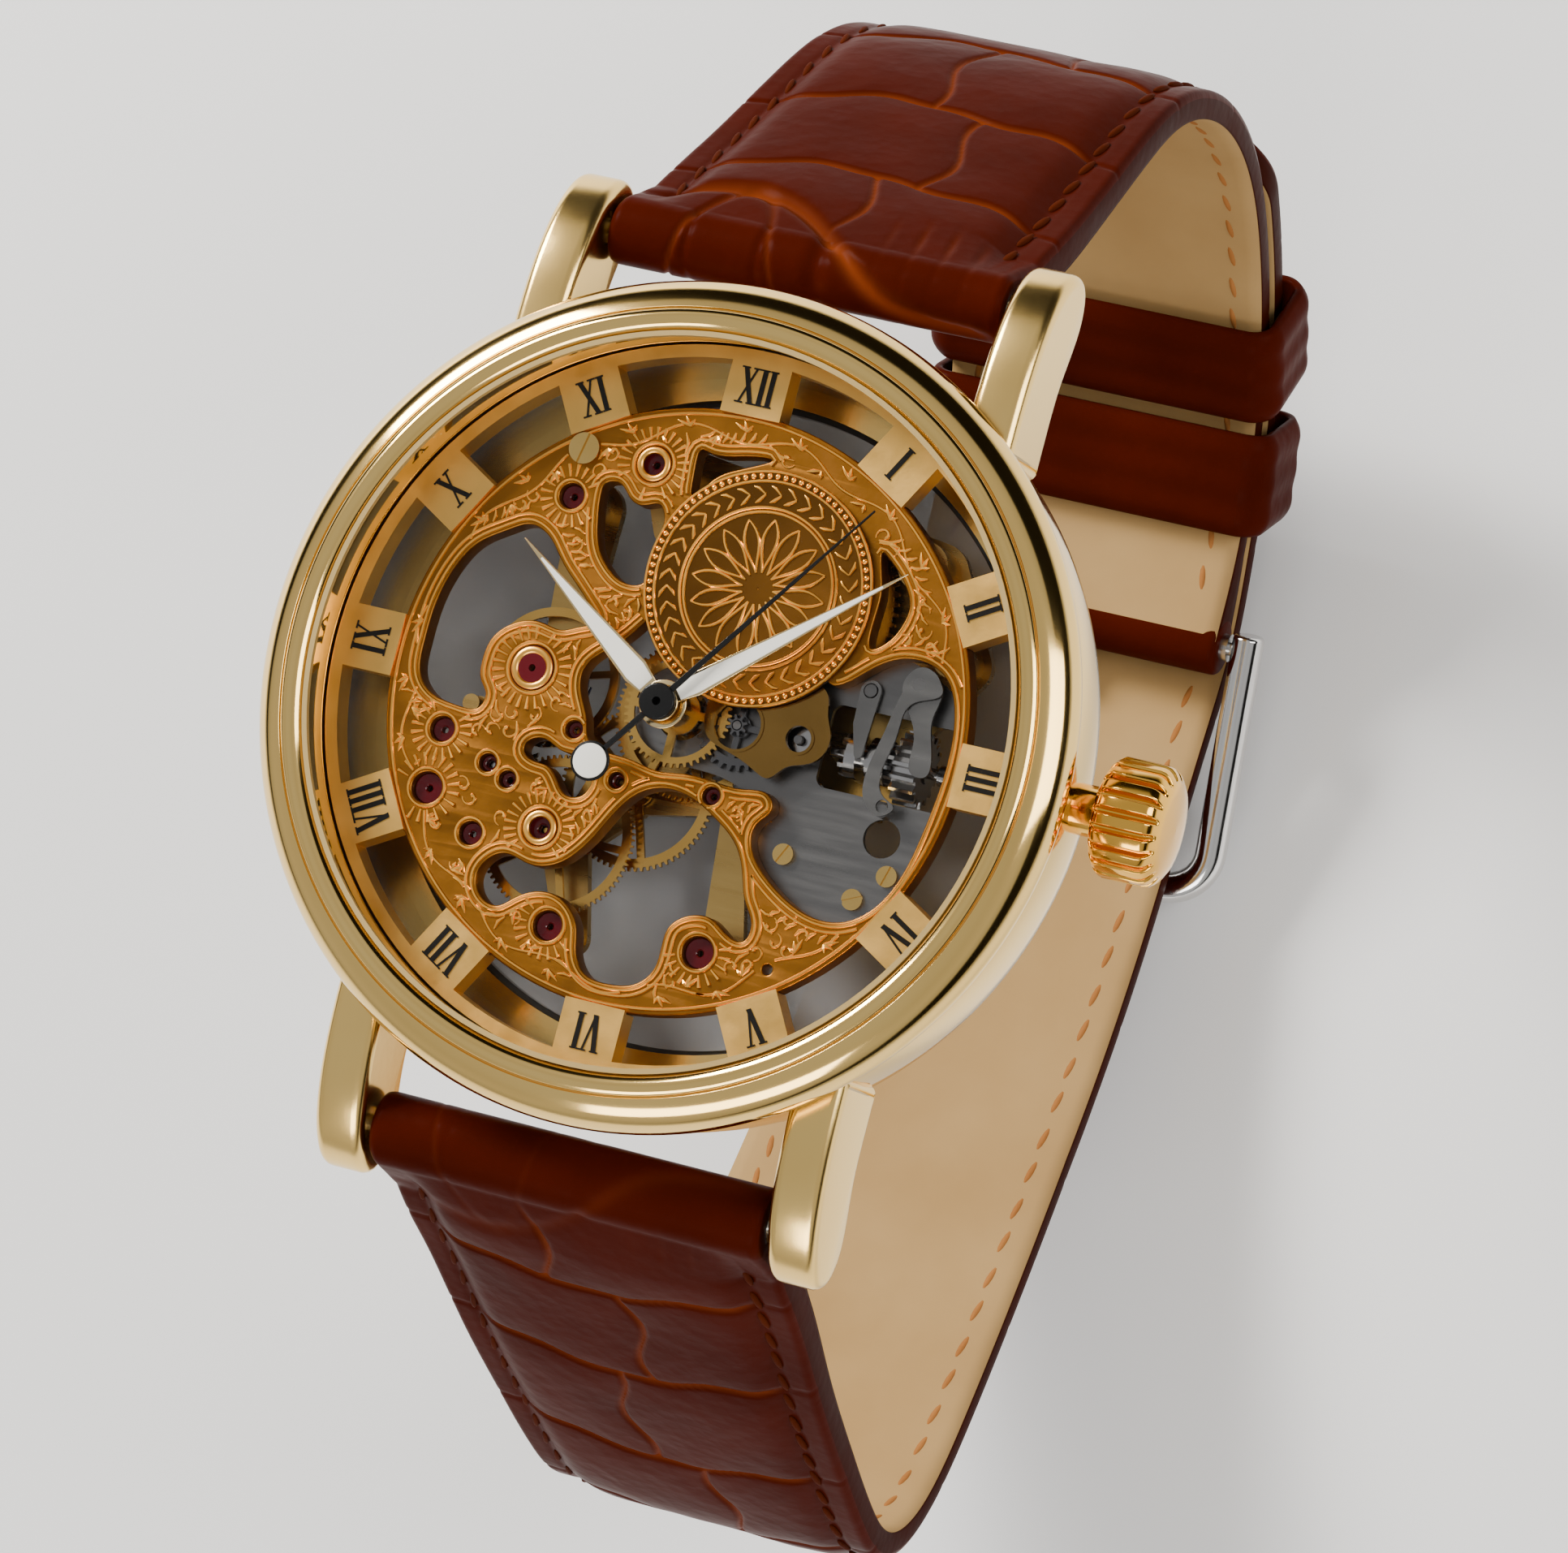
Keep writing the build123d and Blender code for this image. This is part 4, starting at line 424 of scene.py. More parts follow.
def fluted(name, material):
    """The crown: rings of points along the stem line, with flutes that fade out at both ends."""
    rings = [
        (crown_start + 1.7, 0.6, 0), (crown_start + 1.7, 1.74, 0), (crown_start, 1.75, 0),
        (crown_start, 2.25, 0), (crown_start + 0.12, 2.5, 0.2), (crown_start + 0.3, 2.72, 0.8),
        (crown_start + 0.5, 2.84, 1), (crown_end - 0.95, 2.84, 1), (crown_end - 0.7, 2.78, 1),
        (crown_end - 0.5, 2.62, 0.9), (crown_end - 0.36, 2.42, 0.4), (crown_end - 0.3, 2.3, 0),
        (crown_end - 0.2, 2.15, 0), (crown_end - 0.12, 1.7, 0), (crown_end - 0.04, 0.9, 0),
        (crown_end, 0.02, 0),
    ]
    steps = 600
    flutes = 20
    vertices = []
    for x, radius, depth in rings:
        for step in range(steps):
            angle = 2 * math.pi * step / steps
            aside = (flutes * angle / (2 * math.pi) + 0.5) % 1 - 0.5
            reach = radius - 0.42 * depth * math.exp(-((aside / 0.17) ** 4))
            vertices.append((x, reach * math.cos(angle), stem_height + reach * math.sin(angle)))
    return new_piece(name, vertices, ring_faces(len(rings), steps, turned_over=True), material)


crown = soften(fluted("crown_fluted", crown_gold), 0)
belongs(crown, "stem_and_crown", "gold", "crown")
dress(crown_gold, "crown_tube")

# ---------------------------------------------------------------- Front plate
# The front plate is one sheet of brass, pierced, engraved on a pantograph and gilt to a deep amber.
# Its lines stand proud and catch the light: borders, sun rays round the jewels, scrolls and vines.


def top_loops(name):
    """The outlines of a flat CAD piece's upper face in millimetres, the longest first."""
    mesh = nodes[name].data
    top = max(v.co.z for v in mesh.vertices)
    corner = lambda i: tuple(round(c / mm, 3) for c in mesh.vertices[i].co[:2])
    links = {}
    for face in mesh.polygons:
        if all(abs(mesh.vertices[i].co.z - top) < 0.01 * mm for i in face.vertices):
            ring = [corner(i) for i in face.vertices]
            for a, b in zip(ring, ring[1:] + ring[:1]):
                if (b, a) in links:
                    del links[(b, a)]
                else:
                    links[(a, b)] = True
    following = {a: b for a, b in links}
    loops = []
    while following:
        start, point = next(iter(following.items()))
        loop = [start]
        del following[start]
        while point != start and point in following:
            loop.append(point)
            point = following.pop(point)
        if len(loop) > 5:
            loops.append(np.array(loop))
    loops.sort(key=lambda loop: -np.linalg.norm(loop - np.roll(loop, 1, 0), axis=1).sum())
    return loops


def even_loop(loop, step):
    """A closed loop with its points evenly spaced."""
    closed = np.vstack([loop, loop[:1]])
    length = np.r_[0, np.cumsum(np.linalg.norm(np.diff(closed, axis=0), axis=1))]
    count = max(int(length[-1] / step), 12)
    places = np.linspace(0, length[-1], count, endpoint=False)
    return np.column_stack([np.interp(places, length, closed[:, k]) for k in range(2)])


plate_gold = metal("plate_gold", (0.36, 0.148, 0.023), (0.21, 0.080, 0.011), 0.40, 1600, 0.05)
line_gold = metal("line_gold", (1.00, 0.54, 0.11), (0.94, 0.43, 0.065), 0.30, 900, 0.05)
plate_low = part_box("front_plate")[0].z / mm
plate_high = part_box("front_plate")[1].z / mm
plate_loops = top_loops("front_plate")
front = slab("front_plate_sheet", plate_loops, plate_low, plate_high, plate_gold, 0.1, 2)
belongs(front, "case", "gold_engraved", "front_plate")

window_loops = [even_loop(loop, 0.15) for loop in plate_loops[1:]]


def inside(point, loop):
    """True when a point lies inside a closed loop."""
    x, y = point
    x0, y0 = loop[:, 0], loop[:, 1]
    x1, y1 = np.roll(x0, -1), np.roll(y0, -1)
    crossing = (y0 > y) != (y1 > y)
    cut = x0 + (y - y0) * (x1 - x0) / np.where(crossing, y1 - y0, 1)
    return bool(np.sum(crossing & (x < cut)) % 2)


def free_of_windows(point, margin):
    """True when a point of the plate is at least a margin away from every opening and the rim."""
    if math.hypot(*point) > 14.3 - margin:
        return False
    for loop in window_loops:
        if np.min(np.hypot(loop[:, 0] - point[0], loop[:, 1] - point[1])) < margin:
            return False
        if inside(point, loop):
            return False
    return True


def moved_loop(loop, by):
    """A closed loop moved outward by a distance."""
    ahead = np.roll(loop, -2, 0) - np.roll(loop, 2, 0)
    ahead /= np.linalg.norm(ahead, axis=1)[:, None]
    normal = np.column_stack([ahead[:, 1], -ahead[:, 0]])
    area = np.sum(loop[:, 0] * np.roll(loop[:, 1], -1) - loop[:, 1] * np.roll(loop[:, 0], -1))
    return loop + normal * by * (1 if area > 0 else -1)


def runs_where(points, test, closed=True):
    """Stretches of a line where the test holds."""
    keep = [test(p) for p in points]
    if all(keep):
        return [np.vstack([points, points[:1]]) if closed else points]
    start = keep.index(False) if closed else 0
    order = [(start + k) % len(points) for k in range(len(points))]
    runs, run = [], []
    for k in order:
        if keep[k]:
            run.append(points[k])
        elif run:
            runs.append(np.array(run))
            run = []
    if run:
        runs.append(np.array(run))
    return [r for r in runs if len(r) > 3]


def raised_lines(name, lines, height, radius, material):
    """Thin rounded ridges along flat lines, sunk half way into the surface."""
    ridge = bpy.data.curves.new(name, "CURVE")
    ridge.dimensions = "3D"
    ridge.bevel_depth = radius * mm
    ridge.bevel_resolution = 1
    ridge.use_fill_caps = True
    for line in lines:
        spline = ridge.splines.new("POLY")
        spline.points.add(len(line) - 1)
        for k, point in enumerate(line):
            spline.points[k].co = (point[0] * mm, point[1] * mm, height * mm, 1)
            spline.points[k].radius = point[2] if len(point) > 2 else 1.0
    mesh = cast(name, ridge, material)
    mesh.shade_smooth()
    return placed(name, mesh)


def around(centre, radius, start, end, count):
    """Points along an arc, by its angles in degrees."""
    angles = np.radians(np.linspace(start, end, count))
    return np.column_stack(
        [centre[0] + radius * np.cos(angles), centre[1] + radius * np.sin(angles)]
    )


medallion_low, medallion_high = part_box("medallion")
medallion_centre = (
    (medallion_low.x + medallion_high.x) / 2 / mm, (medallion_low.y + medallion_high.y) / 2 / mm
)
medallion_radius = (medallion_high.x - medallion_low.x) / 2 / mm


def off_medallion(point, margin=0.2):
    """True when a point is clear of the medallion's rim by a margin."""
    away = math.hypot(point[0] - medallion_centre[0], point[1] - medallion_centre[1])
    return away > medallion_radius + margin


borders = []
ticks = []
for loop in window_loops:
    around_length = np.linalg.norm(loop - np.roll(loop, 1, 0), axis=1).sum()
    if around_length < 7.5:
        continue
    borders += runs_where(
        moved_loop(loop, 0.22), lambda p: free_of_windows(p, 0.17) and off_medallion(p)
    )
    borders += runs_where(
        moved_loop(loop, 0.50), lambda p: free_of_windows(p, 0.42) and off_medallion(p)
    )
    inner, outer = moved_loop(loop, 0.62), moved_loop(loop, 1.12)
    for k in range(0, len(loop), 3):
        later = outer[(k + 2) % len(loop)]
        clear = free_of_windows(inner[k], 0.5) and free_of_windows(later, 0.62)
        if clear and off_medallion(inner[k], 0.3) and off_medallion(later, 0.3):
            middle = (inner[k] + later) / 2 + (later - inner[k])[::-1] * (0.12, -0.12)
            ticks.append([(*inner[k], 0.6), (*middle, 1.25), (*later, 0.5)])
borders.append(around((0, 0), 14.02, 0, 360, 240))

jewel_places = [
    (-7.4, 0.4, 1.05), (-5.0, -6.8, 0.85), (-4.1, 11.0, 0.85), (-7.7, 8.7, 0.6), (-3.4, -11.15, 0.7),
    (4.1, -10.7, 0.75), (-4.6, -1.95, 0.42), (-11.0, -3.35, 0.6), (-11.0, -6.2, 0.75),
    (-8.3, -7.8, 0.55), (-7.2, -4.95, 0.4), (2.8, -3.5, 0.42), (-1.93, -3.82, 0.38),
    (-8.35, -4.4, 0.42),
]
for x, y, radius in jewel_places:
    borders += runs_where(
        around((x, y), radius + 0.16, 0, 360, 40)[:-1], lambda p: free_of_windows(p, 0.1)
    )
    if radius > 0.55:
        rays = 26 if radius > 0.8 else 20
        for ray in range(rays):
            angle = 2 * math.pi * ray / rays
            foot = (x + (radius + 0.32) * math.cos(angle), y + (radius + 0.32) * math.sin(angle))
            head = (x + (radius + 0.92) * math.cos(angle), y + (radius + 0.92) * math.sin(angle))
            if free_of_windows(foot, 0.15) and free_of_windows(head, 0.2) and off_medallion(head):
                ticks.append([(*foot, 0.6), (*head, 1.3)])

vines = []
leaf_angle = np.arange(-70, 292, 0.8)
wave = 13.2 + 0.34 * np.sin(np.radians(leaf_angle * 15))
stem_line = np.column_stack(
    [wave * np.cos(np.radians(leaf_angle)), wave * np.sin(np.radians(leaf_angle))]
)
vines += runs_where(stem_line, lambda p: free_of_windows(p, 0.3) and off_medallion(p), closed=False)
for angle in np.arange(-66, 290, 6.0):
    side = 1 if int(round(angle / 6)) % 2 else -1
    base = 13.2 + 0.2 * side
    for spread in (-1.5, 0.0, 1.5):
        start = np.array([base * math.cos(math.radians(angle)), base * math.sin(math.radians(angle))])
        tip_radius = base + side * (0.5 - 0.1 * abs(spread))
        tip_angle = math.radians(angle + spread * 1.2 + 1.0)
        tip = np.array([tip_radius * math.cos(tip_angle), tip_radius * math.sin(tip_angle)])
        if free_of_windows(tip, 0.3) and free_of_windows(start, 0.3) and off_medallion(tip):
            vines.append([(*start, 0.7), (*((start + tip) / 2), 1.7), (*tip, 0.3)])

random = np.random.default_rng(12)
scroll_centres = []
for _ in range(9000):
    reach = 12.75 * math.sqrt(random.random())
    angle = random.random() * 2 * math.pi
    spot = np.array([reach * math.cos(angle), reach * math.sin(angle)])
    near_jewel = min(math.hypot(spot[0] - x, spot[1] - y) - r for x, y, r in jewel_places)
    if near_jewel < 1.02 or not off_medallion(spot, 0.45):
        continue
    if any(np.hypot(*(spot - other)) < 0.70 for other in scroll_centres):
        continue
    if free_of_windows(spot, 0.92) or (math.hypot(*spot) > 11.4 and free_of_windows(spot, 0.62)):
        scroll_centres.append(spot)
for spot in scroll_centres:
    turn = random.random() * 2 * math.pi
    hand = random.choice((-1, 1))
    curl = []
    for k in range(15):
        share = k / 14
        radius = 0.09 + 0.34 * share
        angle = turn + hand * 4.6 * share
        curl.append(
            (spot[0] + radius * math.cos(angle), spot[1] + radius * math.sin(angle), 1.5 - share)
        )
    vines.append(curl)

engraving = joined(
    "plate_engraving",
    [
        raised_lines("plate_borders", borders, plate_high, 0.085, line_gold),
        raised_lines("plate_ticks", ticks, plate_high, 0.082, line_gold),
        raised_lines("plate_vines", vines, plate_high, 0.072, line_gold),
    ],
)
belongs(engraving, "case", "gold_engraved")

# ---------------------------------------------------------------- Hour ring
# The hour ring is a thin brass hoop with twelve square blocks standing inwards, machined and gilt.
# The Roman numerals are printed on the satin tops of the blocks in black.
block_gold = metal("block_gold", (0.98, 0.60, 0.17), (0.80, 0.45, 0.10), 0.38, grain=2600, bump=0.05)
dress(block_gold, "chapter_ring")


def printed(name, colour, roughness):
    """Printing ink, lacquer or enamel, a little uneven in tone and thickness."""
    material, tree, shader = blank(name)
    speck = cloudy(tree, None, 3000, 4)
    thin, full = [c * 0.8 for c in colour], [min(1, c * 1.1 + 0.01) for c in colour]
    feed(tree, shader, {
        "Roughness": roughness,
        "Specular IOR Level": 0.15,
        "Base Color": between(tree, speck, thin, full),
        "Normal": marked(tree, speck, 0.1, 0.00003),
    })
    return material


black_ink = printed("black_ink", (0.006, 0.005, 0.004), 0.3)
dress(black_ink, "hour_numerals")

# ---------------------------------------------------------------- Medallion
# A round gilt plaque is riveted over the barrel. It has a beaded border, two rings and a rosette of
# petals in relief, with a running leaf pattern between the rings.
disc_top = plate_high + 0.3
medallion_gold = metal("medallion_gold", (0.20, 0.084, 0.015), (0.09, 0.036, 0.006), 0.36, 700, 0.05)
disc_profile = [
    (0.02, disc_top), (5.1, disc_top), (5.2, disc_top + 0.03), (5.6, disc_top + 0.03),
    (5.6, plate_high), (0.02, plate_high),
]
disc = soften(
    turned("medallion_disc", disc_profile, medallion_gold, 200, medallion_centre), 0.04, 2
)
belongs(disc, "case", "gold_engraved", "medallion")
rings = [around(medallion_centre, r, 0, 360, 160) for r in (5.52, 5.08, 3.82, 3.62)]


def on_medallion(radius, angle, *width):
    """A spot on the medallion by its distance from the middle and its angle in radians."""
    x, y = medallion_centre
    return (x + radius * math.cos(angle), y + radius * math.sin(angle), *width)


petals = []
for petal in range(16):
    for side in (-1, 1):
        leaf = []
        for share in np.linspace(0, 1, 11):
            belly = math.sin(math.pi * share)
            swing = math.radians(22.5 * petal + side * 9.5 * belly)
            leaf.append(on_medallion(0.75 + 2.55 * share, swing, 0.7 + 0.5 * belly))
        petals.append(leaf)
leaf_circle = 4.45
for leaf in range(36):
    foot = math.radians(10 * leaf)
    tip = math.radians(10 * leaf + 4.2)
    for side in (-1, 1):
        petals.append([
            on_medallion(leaf_circle, foot, 0.8),
            on_medallion(leaf_circle + side * 0.3, tip, 1.4),
            on_medallion(leaf_circle + side * 0.4, tip + 0.05, 0.4),
        ])
beads = []
for bead in range(84):
    place = Vector(on_medallion(5.3, 2 * math.pi * bead / 84, disc_top + 0.03)) * mm
    ball = bmesh.new()
    bmesh.ops.create_icosphere(ball, subdivisions=2, radius=0.14 * mm)
    bmesh.ops.translate(ball, verts=ball.verts, vec=place)
    bead_mesh = bpy.data.meshes.new(f"bead_{bead}")
    ball.to_mesh(bead_mesh)
    ball.free()
    bead_mesh.materials.append(line_gold)
    beads.append(placed(f"bead_{bead}", bead_mesh))
relief = joined(
    "medallion_relief",
    [
        raised_lines("medallion_rings", rings, disc_top, 0.08, line_gold),
        raised_lines("medallion_petals", petals, disc_top, 0.07, line_gold),
        *beads,
    ],
)
belongs(relief, "case", "gold_engraved")

# ---------------------------------------------------------------- Hands
# The hour and minute hands are long tapered blades of gilt brass, filled with cream enamel. The
# seconds hand is a blackened steel needle with a white disc on its tail.
hand_trim = metal("hand_trim", (0.90, 0.72, 0.40), (0.80, 0.60, 0.28), 0.18, grain=1500, bump=0.03)
cream = printed("cream_enamel", (0.90, 0.87, 0.78), 0.35)
black_steel = printed("black_lacquer", (0.004, 0.004, 0.004), 0.22)


def hand_loop(points, clock_angle):
    """Outline points, given along and across a hand, turned to its place on the dial."""
    angle = math.radians(90 - clock_angle)
    along = np.array([math.cos(angle), math.sin(angle)])
    across = np.array([-along[1], along[0]])
    return np.array([along * x + across * y for x, y in points])


def ring_loop(radius, centre=(0, 0)):
    """A full circle that doesn't repeat its first point."""
    return around(centre, radius, 0, 360, 49)[:-1]


def tapered(root, root_half, belly, belly_half, point, point_half, clock_angle):
    """The outline of a blade that swells to its belly and tapers to its point."""
    one_side = [(root, -root_half), (belly, -belly_half), (point, -point_half)]
    return hand_loop(one_side + [(x, -y) for x, y in one_side[::-1]], clock_angle)


hands = [
    ("hour", "hour_train", 305.0, 2.1, 0.66, 10.65, 1.15, 0.88),
    ("minute", "minute_train", 50.5, 1.9, 0.56, 13.1, 0.85, 0.58),
]
for name, body, angle, belly, half, reach, hub, bore in hands:
    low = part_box(f"{name}_hand")[0].z / mm
    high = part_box(f"{name}_hand")[1].z / mm
    outline = tapered(hub * 0.6, half * 0.55, belly, half, reach, 0.03, angle)
    blade = slab(f"{name}_blade", [outline], low, high - 0.03, hand_trim, 0.03, 1)
    hub_rings = [ring_loop(hub), ring_loop(bore)]
    collar = slab(f"{name}_collar", hub_rings, low, high - 0.02, hand_trim, 0.03, 1)
    enamel = tapered(hub + 0.12, half * 0.62, belly + 0.02, half - 0.13, reach - 1.3, 0.05, angle)
    fill = slab(f"{name}_fill", [enamel], high - 0.06, high, cream, 0.02, 1)
    belongs(joined(f"{name}_hand_blade", [blade, collar, fill]), body, "hand_white", f"{name}_hand")

seconds_angle = 36.2
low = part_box("seconds_hand")[0].z / mm
needle_outline = tapered(-3.4, 0.13, 0, 0.16, 13.4, 0.045, seconds_angle)
needle = slab("needle", [needle_outline], low, low + 0.12, black_steel, 0.03, 1)
tail_centre = hand_loop([(-4.2, 0)], seconds_angle)[0]
disc_rim = slab("disc_rim", [ring_loop(0.95, tail_centre)], low, low + 0.12, black_steel, 0.03, 1)
disc_fill = slab("disc_fill", [ring_loop(0.82, tail_centre)], low + 0.08, low + 0.16, cream, 0.03, 2)
hub_cap = slab("hub_cap", [ring_loop(0.88)], low, low + 0.3, black_steel, 0.12, 3)
belongs(
    joined("seconds_hand_needle", [needle, disc_rim, disc_fill, hub_cap]),
    "seconds_train", "hand_white", "seconds_hand",
)

# ---------------------------------------------------------------- Movement wheels and steel work
# The wheels are stamped from brass and gilt, and the pinions, arbors, screws and winding parts are
# hardened steel. The lower bridges are gilt brass with fine straight graining.
wheel_gilt = metal("wheel_gilt", (0.74, 0.46, 0.13), (0.56, 0.31, 0.07), 0.2, grain=1200, bump=0.05)
pinion_steel = metal("pinion_steel", (0.50, 0.49, 0.48), (0.34, 0.33, 0.32), 0.16, 1200, 0.05)
lever_steel = metal("lever_steel", (0.30, 0.29, 0.275), (0.13, 0.125, 0.12), 0.24, 700, 0.08, (1, 6, 1))
grey_plate = metal("grey_plate", (0.22, 0.215, 0.21), (0.15, 0.145, 0.14), 0.3, 900, 0.05, (1, 12, 1))
bridge_gilt = metal("bridge_gilt", (0.62, 0.42, 0.15), (0.46, 0.28, 0.08), 0.28, 900, 0.06, (1, 10, 1))
dark_steel = metal("dark_steel", (0.20, 0.19, 0.19), (0.10, 0.10, 0.10), 0.22, 1200, 0.05)
dress(
    wheel_gilt, "barrel_drum", "barrel_cover", "ratchet_wheel", "crown_wheel", "centre_wheel",
    "third_wheel", "fourth_wheel", "balance_wheel", "hour_wheel",
)
motion_gilt = metal("motion_gilt", (0.40, 0.235, 0.065), (0.20, 0.105, 0.026), 0.16, 900, 0.04)
dress(motion_gilt, "motion_bridge")
dress(
    pinion_steel, "cannon_pinion", "setting_wheel", "winding_pinion", "winding_stem", "sliding_clutch",
    "barrel_arbor", "mainspring", "ratchet_screw", "click", "click_spring", "escape_wheel",
    "seconds_pinion", "pallet_fork",
)
dress(lever_steel, "setting_lever", "yoke", "setting_lever_spring")
dress(dark_steel, "minute_wheel")
dress(grey_plate, "keyless_plate")
dress(bridge_gilt, "barrel_bridge", "train_bridge", "pallet_bridge", "balance_cock")
blued = metal("blued_steel", (0.10, 0.14, 0.32), (0.05, 0.07, 0.18), 0.2, 1500, 0.03)
dress(blued, "hairspring")
screw_gilt = metal("screw_gilt", (0.85, 0.58, 0.20), (0.70, 0.44, 0.12), 0.15, 1200, 0.03)
dress(screw_gilt, "movement_screws")


ruby_red, tree, shader = blank("ruby")
feed(tree, shader, {
    "Roughness": 0.06,
    "IOR": 1.5,
    "Specular IOR Level": 0.3,
    "Base Color": between(tree, cloudy(tree, None, 800), (0.035, 0.0015, 0.003), (0.13, 0.004, 0.009)),
})
dress(ruby_red, "jewel_bearings")
jewel_settings = [(-7.4, 0.4, 1.04, 0.66), (-5.0, -6.8, 0.84, 0.50), (-4.1, 11.0, 0.84, 0.50)]
for number, (x, y, outer, inner) in enumerate(jewel_settings):
    profile = [
        (inner, -0.1), (inner + 0.04, 0.02), (inner + 0.14, 0.07), (outer - 0.06, 0.07),
        (outer, -0.02), (outer, -0.1),
    ]
    profile = [(radius, plate_high + rise) for radius, rise in profile]
    setting = turned(f"jewel_setting_{number}", profile, line_gold, 64, (x, y))
    belongs(soften(setting, 0), "case", "gold")

# ---------------------------------------------------------------- Plate jewels
# Every small round hole of the front plate that has room for one is closed by a pierced synthetic ruby,
# pressed in a little below the engraved face. The hole in its middle leaves room for whatever turns
# there.
jewel_floor = plate_low + 0.25 * (plate_high - plate_low)
jewel_face = plate_low + 0.65 * (plate_high - plate_low)
others = [name for name in nodes if name not in ("front_plate", "medallion")]
neighbours = np.array([vertex.co / mm for name in others for vertex in nodes[name].data.vertices])
at_plate = neighbours[(neighbours[:, 2] > jewel_floor - 0.1) & (neighbours[:, 2] < jewel_face + 0.3)]
plate_jewels = []
for loop in window_loops:
    centre = loop.mean(axis=0)
    reach = np.hypot(*(loop - centre).T)
    if reach.max() > 1.2 or reach.max() - reach.min() > 0.06:
        continue
    away = np.hypot(*(at_plate[:, :2] - centre).T)
    bore = max([0.16, *(away[away < reach.min()] + 0.05)])
    if bore > reach.min() - 0.12:
        continue
    rim = reach.min() - 0.01
    profile = [
        (bore, jewel_floor), (bore, jewel_face - 0.06), (bore + 0.05, jewel_face - 0.02),
        (rim - 0.06, jewel_face), (rim, jewel_face - 0.05), (rim, jewel_floor),
    ]
    jewel = turned(f"plate_jewel_{len(plate_jewels)}", profile, ruby_red, 48, tuple(centre))
    plate_jewels.append(soften(jewel, 0))
belongs(joined("plate_jewels", plate_jewels), "case", "ruby")

# ---------------------------------------------------------------- Strap
# The strap is padded calf leather, embossed in a large crocodile pattern, dyed red-brown and glazed.
# It is lined in cream leather, stitched along both edges and closed in a loop by the buckle.


def leather(name, light, dark, groove_and_highlight, roughness, gloss, grain_scale=1400):
    """Dyed leather with a painted highlight colour along its embossed lines and folds, with pores and
    wrinkles in the grain.
    """
    material, tree, shader = blank(name)
    place = own_place(tree)
    cloud = cloudy(tree, place, 160, 8)
    crease_and_highlight = add(tree, "Attribute", {}, attribute_name="relief").outputs["Fac"]
    pores = add(tree, "TexVoronoi", {"Scale": grain_scale, "Vector": place}).outputs["Distance"]
    wrinkle = cloudy(tree, place, grain_scale / 3, 8)
    grain = add(tree, "Math", {0: pores, 1: 0.35, 2: wrinkle}, operation="MULTIPLY_ADD")
    # Painted highlight: where the "relief" attribute marks the embossed lines and folds, the dyed tone
    # is lifted towards the highlight colour.
    feed(tree, shader, {
        "Specular IOR Level": gloss,
        "Base Color": between(tree, crease_and_highlight, between(tree, cloud, dark, light), groove_and_highlight),
        "Roughness": graded(tree, cloud, roughness * 0.8, roughness * 1.3),
        "Normal": marked(tree, grain.outputs["Value"], 0.35, 0.0001),
    })
    return material


# Each leather's third colour is a painted highlight, laid where the "relief" attribute marks embossed
# lines and folds.
brown_leather = leather(
    "brown_leather", (0.066, 0.0062, 0.0014), (0.030, 0.0030, 0.0008), (0.30, 0.060, 0.012), 0.30, 0.008
)
edge_leather = leather(
    "edge_paint", (0.040, 0.0045, 0.001), (0.02, 0.003, 0.001), (0.1, 0.03, 0.01), 0.42, 0.012
)
cream_lining = leather(
    "cream_lining", (0.44, 0.285, 0.12), (0.32, 0.19, 0.072), (0.5, 0.4, 0.2), 0.6, 0.015, 900
)
thread = leather(
    "strap_thread", (0.085, 0.014, 0.003), (0.035, 0.005, 0.001), (0.1, 0.02, 0.01), 0.6, 0.015, 2500
)

lining_thread = leather(
    "lining_thread", (0.40, 0.17, 0.050), (0.24, 0.085, 0.020), (0.3, 0.1, 0.03), 0.6, 0.015, 2500
)


def half_width_at(z, lug_half, buckle_half):
    """Half the strap's width at a height: it narrows evenly from the lugs to the buckle."""
    share = np.clip((-4 - z) / 42, 0, 1)
    return lug_half + (buckle_half - lug_half) * share


def sewn(name, stitches, material):
    """A row of saddle stitches: each one a short plump bead of thread, lying along the seam."""
    seam = bmesh.new()
    for centre, direction in stitches:
        turn = direction.to_track_quat("X", "Z").to_matrix().to_4x4()
        shape = Matrix.Translation(centre * mm) @ turn @ Matrix.Diagonal((0.82, 0.19, 0.15, 1))
        bmesh.ops.create_uvsphere(seam, u_segments=10, v_segments=8, radius=1 * mm, matrix=shape)
    mesh = bpy.data.meshes.new(name)
    seam.to_mesh(mesh)
    seam.free()
    mesh.materials.append(material)
    mesh.shade_smooth()
    return placed(name, mesh)


